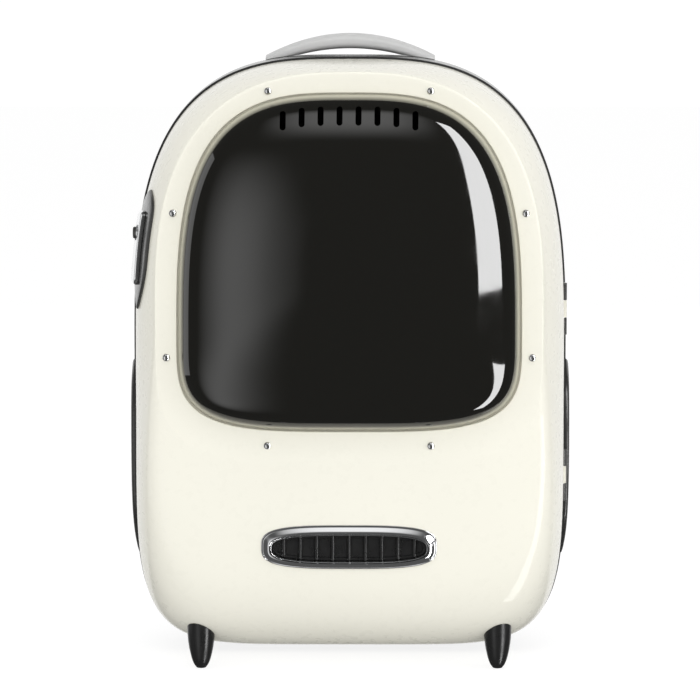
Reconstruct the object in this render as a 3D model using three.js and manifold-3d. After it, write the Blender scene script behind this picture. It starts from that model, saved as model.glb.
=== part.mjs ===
// Hard-shell pet carrier backpack. A cream front shell with a smoked bubble window opens like a door
// on a dark rear shell, which carries the handle, the side vents, the back pad and the shoulder
// straps. Millimetres, +Z up, the front towards -Y, standing on its four feet at z = 0.
import * as THREE from 'three';
import { mergeVertices } from 'three/addons/utils/BufferGeometryUtils.js';
import Module from 'manifold-3d';

const wasm = await Module();
wasm.setup();

// Shells
const shellHalfWidth = 150.8;
const shellTop = 421;
const shellBottom = 8;
const sillDepth = 96;
const browDepth = 79;
const rearDepth = 112;
const rearRounding = 48;
const wall = 3;
const bow = 0.05;
const clearance = 0.3;

// Flange between the ridge and the window
const ridgeSideInset = 17.3;
const ridgeTopInset = 4.8;
const ridgeSill = 149;
const flangeSide = 14.6;
const flangeTop = 14.2;
const flangeSill = 20.3;
const flangeDish = 2.6;

// Bubble window
const paneThickness = 2.4;
const paneTuck = 8;
const paneRise = 29.4;
const paneCentreShare = 0.52;
const slotCount = 8;
const slotPitch = 12.95;
const slotWidth = 4.2;
const slotHeight = 12.8;
const slotDrop = 14.8;

// Rivets
const rivetRadius = 2.7;
const rivetHeight = 1.7;
const rivetAngles = [65.3, 24.8, -17.2, -65.8];

// Front vent
const ventHeight = 89.9;
const ventHalfLength = 60.7;
const ventHalfHeight = 15.3;
const ventMouthHalfLength = 52.9;
const ventMouthHalfHeight = 9.1;
const ventMouthDrop = 1.4;
const ventRise = 2.4;
const ventSleeve = 8;
const ventSleeveWall = 1.6;
const ventRibCount = 9;
const ventRibPitch = 11.25;
const ventRibWidth = 3.4;
const ventRibDepth = 3;
const ventBackThickness = 1.6;

// Seam
const gasketThickness = 2.2;
const gasketProud = 1.4;
const gasketWidth = 7;
const rimProud = 0.9;

// Door hinge
const knuckleRadius = 2.1;
const pinRadius = 0.9;
const hingeClearance = 0.45;
const doorKnuckleLength = 12;
const rearKnuckleLength = 12;
const hingeWebDepth = 6;
const hingeHeights = { lower: 127, upper: 245 };

// Latch
const buttonHeight = 303.3;
const latchAboveButton = 29.7;
const latchBelowButton = 53.3;
const latchDepth = 54;
const latchHalfWidth = 17;
const latchPlateRise = 2;
const latchBarRise = 5.2;
const latchBarAboveButton = 14.7;
const latchBarBelowButton = 36.3;
const latchBarHalfWidth = 8;
const buttonRadius = 4.1;
const buttonHead = 2.6;
const buttonTravel = 2;
const buttonStemRadius = 1.8;
const collarWall = 0.7;

// Side vents
const sideVentTop = 205;
const sideVentBottom = 65;
const sideVentDepth = 36;
const sideVentHalfWidth = 25;
const sideVentRise = 1.9;
const sideRingRise = 3.6;
const sideRingHalfLength = 49;
const sideRingBand = 5;
const sideLouvreCount = 9;
const sideLouvreGap = 3.2;
const sideLouvreRim = 3;
const sideOvalPower = 2.6;

// Handle
const handleHalfSpan = 60;
const handleRise = 15.8;
const handleGap = 6;
const handleWidth = 28;
const handleDepth = 44;

// Feet
const footInset = 47.5;
const footFrontDepth = 66;
const footRearDepth = 76;
const footRadius = 9.6;
const footTipRadius = 2.2;
const footLength = 44;

// Back pad and shoulder straps
const padHalfWidth = 104;
const padTop = 372;
const padBottom = 62;
const padThickness = 14;
const strapWidth = 56;
const strapThickness = 10;
const strapTop = 356;
const strapEnd = 168;
const strapTopX = 44;
const strapEndX = 84;
const strapArch = 17;
const webbingWidth = 25;
const webbingThickness = 2;
const anchorHeight = 76;
const anchorX = 92;
const anchorHalfHeight = 9;
const anchorThickness = 4;
const buckleHalfHeight = 11;
const buckleHalfWidth = 17;
const buckleThickness = 5;

const ringSteps = 36;
const ventSteps = 24;
const cornerCrowding = 0.35;
const seamY = 0;
const rearStart = seamY + gasketThickness + 2 * clearance;
const backFace = rearStart + rearDepth;
const padStart = backFace + clearance;
const padFace = padStart + padThickness;

const lerp = THREE.MathUtils.lerp;
const smoothstep = THREE.MathUtils.smoothstep;
const radians = THREE.MathUtils.degToRad;

// Outlines seen from the front: two half superellipses that meet at the widest level.
function outline(halfWidth, top, bottom, widestShare, topPower, bottomPower) {
  return { halfWidth, top, bottom, widest: lerp(bottom, top, widestShare), topPower, bottomPower };
}

const ridgeTop = shellTop - ridgeTopInset;
const ridgeHalfWidth = shellHalfWidth - ridgeSideInset;
const seamOutline = outline(shellHalfWidth, shellTop, shellBottom, 0.5, 3.05, 6);
const ridgeOutline = outline(ridgeHalfWidth, ridgeTop, ridgeSill, 0.41, 2.6, 4.67);
const windowOutline = outline(
  ridgeHalfWidth - flangeSide, ridgeTop - flangeTop, ridgeSill + flangeSill, 0.287, 3.1, 3.93);
const padOutline = outline(padHalfWidth, padTop, padBottom, 0.5, 3.6, 4.4);
const ventOutline = outline(
  ventHalfLength, ventHeight + ventHalfHeight, ventHeight - ventHalfHeight, 0.5, 2.7, 2.7);
const mouthHeight = ventHeight - ventMouthDrop;
const mouthOutline = outline(ventMouthHalfLength, mouthHeight + ventMouthHalfHeight,
  mouthHeight - ventMouthHalfHeight, 0.5, 2.6, 2.6);

// Angles round an outline, closer together at its corners.
function ringAngles(steps = ringSteps) {
  return Array.from({ length: steps }, (_, step) => {
    const angle = (step / steps) * 2 * Math.PI;
    return angle + (cornerCrowding / 4) * Math.sin(4 * angle);
  });
}

// A point of an outline at an angle, with the outline grown outwards by a length.
function outlinePoint(shape, angle, grow = 0) {
  const across = Math.cos(angle);
  const up = Math.sin(angle);
  const power = up >= 0 ? shape.topPower : shape.bottomPower;
  const reach = up >= 0 ? shape.top - shape.widest : shape.widest - shape.bottom;
  const scale = (Math.abs(across) ** power + Math.abs(up) ** power) ** (-1 / power);
  return {
    x: (shape.halfWidth + grow) * across * scale,
    z: shape.widest + (reach + grow) * up * scale,
  };
}

function between(start, end, share) {
  return { x: lerp(start.x, end.x, share), z: lerp(start.z, end.z, share) };
}

// Everything on the front follows one slight bow from side to side.
function frontPlace(point, depth) {
  const bowed = depth * (1 - bow * (point.x / shellHalfWidth) ** 2);
  return new THREE.Vector3(point.x, seamY - bowed, point.z);
}

// Depth of the flat, slightly leaning plane that the ridge lies in.
function ridgeDepth(height) {
  return lerp(sillDepth, browDepth, (height - ridgeSill) / (ridgeTop - ridgeSill));
}

function paneCentre() {
  return { x: 0, z: lerp(windowOutline.bottom, windowOutline.top, paneCentreShare) };
}

// Closed bodies from rings of points
function bodyFromFaces(points, faces) {
  const geometry = new THREE.BufferGeometry();
  geometry.setAttribute('position', new THREE.Float32BufferAttribute(points.flatMap((p) => p.toArray()), 3));
  let volume = 0;
  for (const [a, b, c] of faces) {
    volume += points[a].dot(new THREE.Vector3().crossVectors(points[b], points[c]));
  }
  geometry.setIndex((volume > 0 ? faces : faces.map(([a, b, c]) => [a, c, b])).flat());
  geometry.computeVertexNormals();
  return geometry;
}

function ringFaces(rings, pairs) {
  const count = rings[0].length;
  const faces = [];
  for (const [lower, upper] of pairs) {
    for (let step = 0; step < count; step += 1) {
      const next = (step + 1) % count;
      const a = lower * count + step;
      const b = lower * count + next;
      const c = upper * count + next;
      const d = upper * count + step;
      faces.push([a, b, c], [a, c, d]);
    }
  }
  return faces;
}

// Rings that close on themselves, as round a window.
function loopBody(rings) {
  const pairs = rings.map((_, index) => [index, (index + 1) % rings.length]);
  return bodyFromFaces(rings.flat(), ringFaces(rings, pairs));
}

// Rings whose first and last are each filled from their middle.
function cappedBody(rings) {
  const pairs = rings.slice(1).map((_, index) => [index, index + 1]);
  const points = rings.flat();
  const faces = ringFaces(rings, pairs);
  const count = rings[0].length;
  for (const [ring, start, turned] of [[rings[0], 0, true], [rings.at(-1), points.length - count, false]]) {
    const middle = ring.reduce((sum, p) => sum.add(p), new THREE.Vector3()).divideScalar(count);
    points.push(middle);
    for (let step = 0; step < count; step += 1) {
      const a = start + step;
      const b = start + ((step + 1) % count);
      faces.push(turned ? [points.length - 1, b, a] : [points.length - 1, a, b]);
    }
  }
  return bodyFromFaces(points, faces);
}

// Rings moved along their surface normals, away from the inside point. The rings at the ends in
// rims keep to the direction that is given there.
function offsetRings(rings, distance, inside, rims = {}) {
  const count = rings[0].length;
  return rings.map((ring, level) => ring.map((point, step) => {
    const before = rings[Math.max(level - 1, 0)][step];
    const after = rings[Math.min(level + 1, rings.length - 1)][step];
    const along = new THREE.Vector3().subVectors(after, before);
    const round = new THREE.Vector3().subVectors(ring[(step + 1) % count], ring[(step + count - 1) % count]);
    const normal = along.cross(round).normalize();
    if (normal.dot(new THREE.Vector3().subVectors(point, inside)) < 0) {
      normal.negate();
    }
    const rim = rims[level];
    if (rim === 'flat') {
      normal.setY(0).normalize();
    }
    if (rim === 'back') {
      normal.set(0, -1, 0);
    }
    return point.clone().addScaledVector(normal, distance);
  }));
}

// Joining and cutting; weld is the length below which their slivers are merged.
const weld = 0.01;

function solid(geometry) {
  const bare = geometry.clone();
  bare.deleteAttribute('normal');
  bare.deleteAttribute('uv');
  const merged = mergeVertices(bare, 1e-4);
  return new wasm.Manifold(new wasm.Mesh({
    numProp: 3,
    vertProperties: new Float32Array(merged.attributes.position.array),
    triVerts: new Uint32Array(merged.index.array),
  }));
}

function geometryOf(manifold) {
  const mesh = manifold.simplify(weld).getMesh();
  const geometry = new THREE.BufferGeometry();
  geometry.setAttribute('position', new THREE.BufferAttribute(mesh.vertProperties, 3));
  geometry.setIndex(new THREE.BufferAttribute(mesh.triVerts, 1));
  geometry.computeVertexNormals();
  return geometry;
}

function placed(geometry, x, y, z) {
  return geometry.clone().translate(x, y, z);
}

function box(x0, x1, y0, y1, z0, z1) {
  const geometry = new THREE.BoxGeometry(x1 - x0, y1 - y0, z1 - z0);
  return placed(geometry, (x0 + x1) / 2, (y0 + y1) / 2, (z0 + z1) / 2);
}

function rodAlongZ(radius, x, y, z0, z1, sides = 12) {
  const geometry = new THREE.CylinderGeometry(radius, radius, z1 - z0, sides).rotateX(Math.PI / 2);
  return placed(geometry, x, y, (z0 + z1) / 2);
}

function rodAlongX(radius, x0, x1, y, z, sides = 16) {
  const geometry = new THREE.CylinderGeometry(radius, radius, Math.abs(x1 - x0), sides).rotateZ(Math.PI / 2);
  return placed(geometry, (x0 + x1) / 2, y, z);
}

// A prism along X from an outline given as { y, z } points.
function prismAlongX(points, x0, x1) {
  return cappedBody([x0, x1].map((x) => points.map((p) => new THREE.Vector3(x, p.y, p.z))));
}

function ovalPoints(y, z, halfWidth, halfLength, power, steps = 24) {
  return ringAngles(steps).map((angle) => {
    const across = Math.cos(angle);
    const up = Math.sin(angle);
    const scale = (Math.abs(across) ** power + Math.abs(up) ** power) ** (-1 / power);
    return { y: y + halfWidth * across * scale, z: z + halfLength * up * scale };
  });
}

// A boat shape: pointed at both ends and full in the middle.
function boatPoints(y, bottom, top, halfWidth, stations = 10) {
  const middle = (bottom + top) / 2;
  const halfLength = (top - bottom) / 2;
  const side = (share) => halfWidth * (1 - Math.abs(share) ** 2.6);
  const shares = Array.from({ length: stations }, (_, i) => -1 + (2 * i) / stations);
  const right = shares.map((share) => ({ y: y + side(share), z: middle + halfLength * share }));
  const left = shares.map((share) => ({ y: y - side(share), z: middle - halfLength * share }));
  return [...right, ...left];
}

// Front shell
// Shares from the ridge (0) to the seam (1), and of the ridge's depth, at the sides and at the sill.
const frontSections = [
  { sideSpread: 1, sideDepth: 0, sillSpread: 1, sillDepth: 0 },
  { sideSpread: 0.97, sideDepth: 0.22, sillSpread: 0.985, sillDepth: 0.3 },
  { sideSpread: 0.89, sideDepth: 0.43, sillSpread: 0.95, sillDepth: 0.56 },
  { sideSpread: 0.77, sideDepth: 0.6, sillSpread: 0.885, sillDepth: 0.76 },
  { sideSpread: 0.6, sideDepth: 0.74, sillSpread: 0.79, sillDepth: 0.905 },
  { sideSpread: 0.4, sideDepth: 0.85, sillSpread: 0.66, sillDepth: 0.985 },
  { sideSpread: 0.22, sideDepth: 0.925, sillSpread: 0.5, sillDepth: 1.01 },
  { sideSpread: 0.1, sideDepth: 0.968, sillSpread: 0.24, sillDepth: 1.01 },
  { sideSpread: 0, sideDepth: 1, sillSpread: 0, sillDepth: 1 },
];

function frontRing(section) {
  return ringAngles().map((angle) => {
    const low = smoothstep(-Math.sin(angle), 0.15, 0.85);
    const spread = lerp(section.sideSpread, section.sillSpread, low);
    const share = lerp(section.sideDepth, section.sillDepth, low);
    const ridge = outlinePoint(ridgeOutline, angle);
    const seam = outlinePoint(seamOutline, angle);
    return frontPlace(between(ridge, seam, spread), ridgeDepth(ridge.z) * share);
  });
}

function flangePoint(angle, share) {
  const point = between(outlinePoint(ridgeOutline, angle), outlinePoint(windowOutline, angle), share);
  return frontPlace(point, ridgeDepth(point.z) - flangeDish * share);
}

const frontInside = new THREE.Vector3(0, seamY - sillDepth / 3, (shellTop + shellBottom) / 2);
const frontRings = [
  ...frontSections.map(frontRing),
  ...[0.5, 1].map((share) => ringAngles().map((angle) => flangePoint(angle, share))),
];

// The front shell's outer form, filled and grown by a length, to fit pieces on it.
function frontForm(grow) {
  return solid(cappedBody(offsetRings(frontRings, grow, frontInside, { 0: 'flat' })));
}

// Rear shell
// Shares of the rounding and of the depth, from the rim to the flat back.
const rearSections = [
  { inset: 0, depth: 0 },
  { inset: -0.012, depth: 0.22 },
  { inset: 0.012, depth: 0.45 },
  { inset: 0.088, depth: 0.65 },
  { inset: 0.23, depth: 0.8 },
  { inset: 0.44, depth: 0.905 },
  { inset: 0.69, depth: 0.97 },
  { inset: 1, depth: 1 },
];

const rearInside = new THREE.Vector3(0, rearStart + rearDepth / 3, (shellTop + shellBottom) / 2);
const rearRings = rearSections.map((section) => ringAngles().map((angle) => {
  const point = outlinePoint(seamOutline, angle, rimProud - rearRounding * section.inset);
  return new THREE.Vector3(point.x, rearStart + rearDepth * section.depth, point.z);
}));

function rearForm(grow) {
  const rings = offsetRings(rearRings, grow, rearInside, { 0: 'flat' });
  const lead = rings[0].map((p) => new THREE.Vector3(p.x, p.y - grow - clearance, p.z));
  return solid(cappedBody([lead, ...rings]));
}

// Hinge: knuckles on one upright axis at the right edge of the seam.
const hingeX = shellHalfWidth;
const knuckleGap = clearance;
const hingeHalf = doorKnuckleLength / 2 + knuckleGap + rearKnuckleLength;

function doorKnuckle(height) {
  const half = doorKnuckleLength / 2;
  return solid(rodAlongZ(knuckleRadius, hingeX, seamY, height - half, height + half));
}

function rearKnuckles(height) {
  const near = doorKnuckleLength / 2 + knuckleGap;
  return [-1, 1].map((side) => {
    const z0 = Math.min(side * near, side * hingeHalf) + height;
    const z1 = Math.max(side * near, side * hingeHalf) + height;
    const rod = solid(rodAlongZ(knuckleRadius, hingeX, seamY, z0, z1));
    const web = box(hingeX - wall, hingeX, seamY + clearance, seamY + hingeWebDepth, z0, z1);
    return rod.add(solid(web));
  });
}

function knuckleRoom(height, half, radius = knuckleRadius + hingeClearance) {
  return solid(rodAlongZ(radius, hingeX, seamY, height - half, height + half, 16));
}

const pinBore = pinRadius + 0.16;

// How far a form reaches to one side under a round head of a radius, at a place and height.
function reachX(form, y, z, radius, side) {
  const far = 2 * shellHalfWidth * side;
  const probe = box(Math.min(0, far), Math.max(0, far), y - radius, y + radius, z - radius, z + radius);
  const bounds = form.intersect(solid(probe)).boundingBox();
  return side < 0 ? bounds.min[0] : bounds.max[0];
}

// A layer on a shell's side: the part of a prism between two heights above the surface.
function sideLayer(points, side, form, low, high) {
  const prism = solid(prismAlongX(points, side * shellHalfWidth * 0.7, side * shellHalfWidth * 1.3));
  return prism.intersect(form(high)).subtract(form(low));
}

// Latch on the left side of the door
const latchY = frontPlace({ x: shellHalfWidth, z: 0 }, latchDepth).y;
const latchSide = -1;
const buttonSeatX = reachX(frontForm(latchPlateRise), latchY, buttonHeight, buttonRadius, latchSide);
const buttonBackX = buttonSeatX - buttonTravel - clearance;
const buttonTipX = buttonBackX - buttonHead;
const collarTipX = buttonBackX - clearance;
const stemEndX = buttonSeatX + latchPlateRise + 3 * wall;
const stemRoom = solid(rodAlongX(buttonStemRadius + clearance, buttonTipX, stemEndX, latchY, buttonHeight));

function latchPlate() {
  const plan = boatPoints(latchY, buttonHeight - latchBelowButton, buttonHeight + latchAboveButton,
    latchHalfWidth);
  return sideLayer(plan, latchSide, frontForm, clearance, latchPlateRise).subtract(stemRoom);
}

function collarRod(radius, tip = collarTipX) {
  return solid(rodAlongX(radius, tip, buttonSeatX + 2 * wall, latchY, buttonHeight));
}

function latchCollar() {
  const bore = buttonRadius + clearance;
  const ring = collarRod(bore + collarWall).subtract(collarRod(bore));
  return ring.subtract(frontForm(latchPlateRise + clearance));
}

function latchBar() {
  const plan = ovalPoints(latchY, buttonHeight + (latchBarAboveButton - latchBarBelowButton) / 2,
    latchBarHalfWidth, (latchBarAboveButton + latchBarBelowButton) / 2, 5);
  const bar = sideLayer(plan, latchSide, frontForm, latchPlateRise + clearance, latchBarRise);
  return bar.subtract(collarRod(buttonRadius + collarWall + 2 * clearance, buttonTipX));
}

function latchButton() {
  const head = solid(rodAlongX(buttonRadius, buttonTipX, buttonBackX, latchY, buttonHeight));
  const stem = rodAlongX(buttonStemRadius, buttonBackX - buttonHead / 2, stemEndX, latchY, buttonHeight, 12);
  return head.add(solid(stem));
}

// Bubble window: an outer skin from the crown out to the wall, a lip tucked behind the flange, and
// an inner skin back to the crown. Shares of the way in from the edge and of the rise of the crown.
const paneSections = [
  { inset: 0.74, rise: 1 },
  { inset: 0.505, rise: 0.925 },
  { inset: 0.32, rise: 0.81 },
  { inset: 0.185, rise: 0.673 },
  { inset: 0.084, rise: 0.51 },
  { inset: 0.0387, rise: 0.327 },
  { inset: 0.0202, rise: 0.163 },
  { inset: 0.0076, rise: 0 },
];

function panePlace(angle, inset, rise) {
  const edge = outlinePoint(windowOutline, angle, -clearance);
  const point = between(edge, paneCentre(), inset);
  return frontPlace(point, ridgeDepth(point.z) - flangeDish + rise);
}

const paneInside = new THREE.Vector3(0, seamY, paneCentre().z);
const paneOuter = paneSections.map((row) => ringAngles()
  .map((angle) => panePlace(angle, row.inset, row.rise * paneRise)));

function windowDome() {
  const behind = wall + clearance;
  const lastInset = paneSections.at(-1).inset;
  const neck = ringAngles().map((angle) => panePlace(angle, lastInset, -behind));
  const inner = offsetRings([...paneOuter, neck], -paneThickness, paneInside);
  const heel = inner.pop().map((p) => new THREE.Vector3(p.x, p.y + paneThickness, p.z));
  const tuck = (grow, rise) => ringAngles().map((angle) => {
    const point = outlinePoint(windowOutline, angle, grow);
    return frontPlace(point, ridgeDepth(point.z) - flangeDish + rise);
  });
  const skin = solid(cappedBody([
    ...paneOuter, neck, tuck(paneTuck, -behind), tuck(paneTuck, -behind - paneThickness), heel,
    ...inner.reverse(),
  ]));
  const slots = Array.from({ length: slotCount }, (_, i) => {
    const x = (i - (slotCount - 1) / 2) * slotPitch;
    const angle = Math.acos(x / windowOutline.halfWidth);
    const z = outlinePoint(windowOutline, angle).z - slotDrop;
    const halfWidth = slotWidth / 2;
    const halfHeight = slotHeight / 2;
    return solid(box(x - halfWidth, x + halfWidth, seamY - 2 * sillDepth, seamY - browDepth / 2,
      z - halfHeight, z + halfHeight));
  });
  return slots.reduce((pane, slot) => pane.subtract(slot), skin);
}

// Front vent: its face lies on the bowed lower front.
const ventFace = ridgeDepth(ridgeSill) * 1.01;

function ventRing(share, grow, rise) {
  return ringAngles(ventSteps).map((angle) => {
    const outer = outlinePoint(ventOutline, angle, grow);
    const mouth = outlinePoint(mouthOutline, angle, grow);
    return frontPlace(between(outer, mouth, share), ventFace + rise);
  });
}

function ventBezel() {
  return loopBody([
    ventRing(0, 0, clearance), ventRing(0.06, 0, ventRise * 0.6), ventRing(0.3, 0, ventRise),
    ventRing(0.75, 0, ventRise * 0.8), ventRing(1, 0, 0), ventRing(1, 0, -ventSleeve),
    ventRing(1, ventSleeveWall, -ventSleeve), ventRing(1, ventSleeveWall, clearance),
  ]);
}

function ventCut(grow) {
  return solid(cappedBody([ventRing(1, grow, ventRise * 4), ventRing(1, grow, -ventSleeve * 2)]));
}

function ventGrille() {
  const inset = -clearance;
  const back = -ventSleeve;
  const plate = solid(cappedBody([
    ventRing(1, inset, back), ventRing(1, inset, back + ventBackThickness),
  ]));
  const ribs = Array.from({ length: ventRibCount }, (_, i) => {
    const x = (i - (ventRibCount - 1) / 2) * ventRibPitch;
    const rib = box(x - ventRibWidth / 2, x + ventRibWidth / 2, seamY - 2 * sillDepth, seamY,
      ventHeight - ventHalfHeight, ventHeight + ventHalfHeight);
    const layer = solid(cappedBody([
      ventRing(1, inset, back + ventBackThickness / 2),
      ventRing(1, inset, back + ventBackThickness + ventRibDepth),
    ]));
    return layer.intersect(solid(rib));
  });
  return ribs.reduce((grille, rib) => grille.add(rib), plate);
}

// Front shell with its wall, window, vent opening and door knuckles. The inner wall leaves out the
// section next to the ridge, where the wall is thicker than the step between the sections.
function frontShell() {
  const last = frontRings.length - 1;
  const inner = offsetRings(frontRings, -wall, frontInside, { 0: 'flat', [last]: 'back' })
    .toSpliced(frontSections.length - 2, 1);
  const knuckles = Object.values(hingeHeights);
  let shell = solid(loopBody([...frontRings, ...inner.reverse()]));
  shell = shell.subtract(ventCut(ventSleeveWall + clearance)).subtract(stemRoom);
  for (const height of knuckles) {
    for (const side of [-1, 1]) {
      const middle = height + side * (doorKnuckleLength + rearKnuckleLength + knuckleGap) / 2;
      shell = shell.subtract(knuckleRoom(middle, rearKnuckleLength / 2 + knuckleGap));
    }
    shell = shell.add(doorKnuckle(height)).subtract(knuckleRoom(height, hingeHalf, pinBore));
  }
  return shell;
}

// Side vents on the rear shell
const sideVentY = rearStart + sideVentDepth;
const sideVentMiddle = (sideVentTop + sideVentBottom) / 2;

function sideOval(inset) {
  return ovalPoints(
    sideVentY, sideVentMiddle, sideVentHalfWidth - inset, sideRingHalfLength - inset, sideOvalPower);
}

function sideHole(side, inset) {
  return solid(prismAlongX(sideOval(inset), side * shellHalfWidth * 0.7, side * shellHalfWidth * 1.3));
}

function sidePanel(side) {
  const plan = boatPoints(sideVentY, sideVentBottom, sideVentTop, sideVentHalfWidth + 1);
  return sideLayer(plan, side, rearForm, clearance, sideVentRise).subtract(sideHole(side, sideRingBand));
}

function sideRing(side) {
  return sideLayer(sideOval(0), side, rearForm, sideVentRise + clearance, sideRingRise)
    .subtract(sideHole(side, sideRingBand));
}

function sideGrille(side) {
  const halfLength = sideRingHalfLength - sideRingBand;
  const pitch = (2 * halfLength) / (sideLouvreCount + 1);
  const plate = sideLayer(sideOval(sideRingBand + clearance), side, rearForm, clearance, sideVentRise);
  return Array.from({ length: sideLouvreCount }, (_, i) => {
    const rise = (i - (sideLouvreCount - 1) / 2) * pitch;
    const narrowing = (1 - (Math.abs(rise) / halfLength) ** sideOvalPower) ** (1 / sideOvalPower);
    const halfGap = (sideVentHalfWidth - sideRingBand) * narrowing - sideLouvreRim;
    const z = sideVentMiddle + rise;
    return solid(box(-2 * shellHalfWidth, 2 * shellHalfWidth, sideVentY - halfGap, sideVentY + halfGap,
      z - sideLouvreGap / 2, z + sideLouvreGap / 2));
  }).reduce((grille, gap) => grille.subtract(gap), plate);
}

// Rear shell, open to the front, with the fixed knuckles
function rearShell() {
  const inner = offsetRings(rearRings, -wall, rearInside, { 0: 'flat' });
  let shell = solid(cappedBody([...rearRings.toReversed(), ...inner]));
  for (const side of [-1, 1]) {
    shell = shell.subtract(sideHole(side, 2 * sideRingBand));
  }
  for (const height of Object.values(hingeHeights)) {
    for (const knuckle of rearKnuckles(height)) {
      shell = shell.add(knuckle);
    }
    shell = shell.subtract(knuckleRoom(height, hingeHalf, pinBore));
  }
  return shell;
}

function seamGasket() {
  const ring = (grow, y) => ringAngles().map((angle) => {
    const point = outlinePoint(seamOutline, angle, grow);
    return new THREE.Vector3(point.x, y, point.z);
  });
  const front = seamY + clearance;
  const back = front + gasketThickness;
  const inner = gasketProud - gasketWidth;
  let gasket = solid(loopBody([
    ring(gasketProud, front), ring(gasketProud, back), ring(inner, back), ring(inner, front),
  ]));
  for (const height of Object.values(hingeHeights)) {
    const half = hingeHalf + clearance;
    const notch = box(hingeX - wall - clearance, hingeX + gasketWidth, seamY, back + clearance, height - half,
      height + half);
    gasket = gasket.subtract(solid(notch));
  }
  return gasket;
}

function hingePin(height) {
  return rodAlongZ(pinRadius, hingeX, seamY, height - hingeHalf, height + hingeHalf);
}

// Handle: a low strap arched over the top of the rear shell.
function handle() {
  const stations = 12;
  const seat = seamOutline.top + rimProud;
  const sections = Array.from({ length: stations + 1 }, (_, i) => {
    const share = -1 + (2 * i) / stations;
    const top = seat + handleRise * (1 - share ** 2) - 1;
    const under = seat + handleGap * (1 - (share / 0.78) ** 2) - 0.4;
    const low = Math.min(under, top - 2.4);
    const middle = (top + low) / 2;
    const half = (top - low) / 2;
    const y = rearStart + handleDepth;
    return ovalPoints(y, middle, handleWidth / 2, half, 3.2, 12)
      .map((p) => new THREE.Vector3(handleHalfSpan * share, p.y, p.z));
  });
  return solid(cappedBody(sections)).subtract(rearForm(clearance));
}

// Feet: blunt cones under the bottom corners, cut to the shell above them.
const footProfile = [
  { radius: footTipRadius, height: 0 },
  { radius: footRadius * 0.4, height: 1.1 },
  { radius: footRadius * 0.55, height: 3.2 },
  { radius: footRadius * 0.73, height: 8 },
  { radius: footRadius * 0.92, height: 17 },
  { radius: footRadius, height: 27 },
  { radius: footRadius, height: footLength },
];

function foot(side, y, form) {
  const profile = [
    new THREE.Vector2(0, 0), ...footProfile.map((row) => new THREE.Vector2(row.radius, row.height)),
    new THREE.Vector2(0, footLength),
  ];
  const cone = new THREE.LatheGeometry(profile, 12).rotateX(Math.PI / 2);
  const upright = solid(placed(cone, side * (shellHalfWidth - footInset), y, 0)).subtract(form(clearance));
  const parts = upright.decompose().sort((a, b) => a.boundingBox().min[2] - b.boundingBox().min[2]);
  return parts[0];
}

// Back pad with rounded edges, and straps that lie on it
const padSections = [
  { inset: 3, share: 0 },
  { inset: 0, share: 0.25 },
  { inset: 0, share: 0.6 },
  { inset: 3, share: 0.86 },
  { inset: 9, share: 1 },
];

function backPad() {
  return cappedBody(padSections.map((row) => ringAngles(32).map((angle) => {
    const point = outlinePoint(padOutline, angle, -row.inset);
    return new THREE.Vector3(point.x, padStart + padThickness * row.share, point.z);
  })));
}

// A flat band that runs down a path, with its width along X and its thickness along Y.
function band(path, width, thickness, power, sides) {
  return cappedBody(path.map((point) => ovalPoints(0, 0, width / 2, thickness / 2, power, sides)
    .map((p) => new THREE.Vector3(point.x + p.y, point.y + p.z, point.z))));
}

const strapRest = padFace + clearance + strapThickness / 2;

function strap(side) {
  const stations = 14;
  const path = Array.from({ length: stations + 1 }, (_, i) => {
    const share = i / stations;
    const lift = strapArch * Math.sin(Math.PI * share) ** 2;
    const x = lerp(strapTopX, strapEndX, smoothstep(share, 0, 1));
    return new THREE.Vector3(side * x, strapRest + lift, lerp(strapTop, strapEnd, share));
  });
  return band(path, strapWidth, strapThickness, 3, 10);
}

const buckleZ = strapEnd - clearance - buckleHalfHeight;
const buckleX = lerp(strapEndX, anchorX, 0.2);
const buckleY = padFace + clearance + buckleThickness / 2;
const anchorStart = padFace + clearance;

function buckle(side) {
  const x = side * buckleX;
  const halfSlot = (webbingWidth + 2) / 2;
  const y0 = buckleY - buckleThickness / 2;
  const y1 = buckleY + buckleThickness / 2;
  const plate = solid(box(x - buckleHalfWidth, x + buckleHalfWidth, y0, y1, buckleZ - buckleHalfHeight,
    buckleZ + buckleHalfHeight));
  const slot = box(x - halfSlot, x + halfSlot, y0 - 1, y1 + 1, buckleZ - buckleHalfHeight / 2,
    buckleZ + buckleHalfHeight / 2);
  return plate.subtract(solid(slot));
}

function webbing(side) {
  const top = buckleZ - buckleHalfHeight - clearance;
  const bottom = anchorHeight + anchorHalfHeight + clearance;
  const y = padFace + clearance + webbingThickness / 2;
  const path = [0, 0.25, 0.5, 0.75, 1].map((share) => new THREE.Vector3(
    side * lerp(buckleX, anchorX, share), y, lerp(top, bottom, share)));
  return band(path, webbingWidth, webbingThickness, 6, 8);
}

function anchor(side) {
  const x = side * anchorX;
  const halfWidth = webbingWidth / 2 + 2;
  return box(x - halfWidth, x + halfWidth, anchorStart, anchorStart + anchorThickness,
    anchorHeight - anchorHalfHeight, anchorHeight + anchorHalfHeight);
}

// Rivet heads round the flange, square to it
function rivet(angle) {
  const profile = [[0, 0], [rivetRadius, 0], [rivetRadius * 0.75, rivetHeight * 0.8], [0, rivetHeight]];
  const head = new THREE.LatheGeometry(profile.map(([r, h]) => new THREE.Vector2(r, h)), 10);
  const step = 0.01;
  const middle = flangePoint(angle, 0.5);
  const inward = flangePoint(angle, 0.55).sub(middle);
  const round = flangePoint(angle + step, 0.5).sub(middle);
  const normal = inward.cross(round).normalize();
  if (normal.y > 0) {
    normal.negate();
  }
  head.applyQuaternion(new THREE.Quaternion().setFromUnitVectors(new THREE.Vector3(0, 1, 0), normal));
  return { head, place: middle.addScaledVector(normal, clearance) };
}

// Finishes
function finish(color, roughness, metalness = 0) {
  return new THREE.MeshStandardMaterial({ color, roughness, metalness });
}

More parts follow.
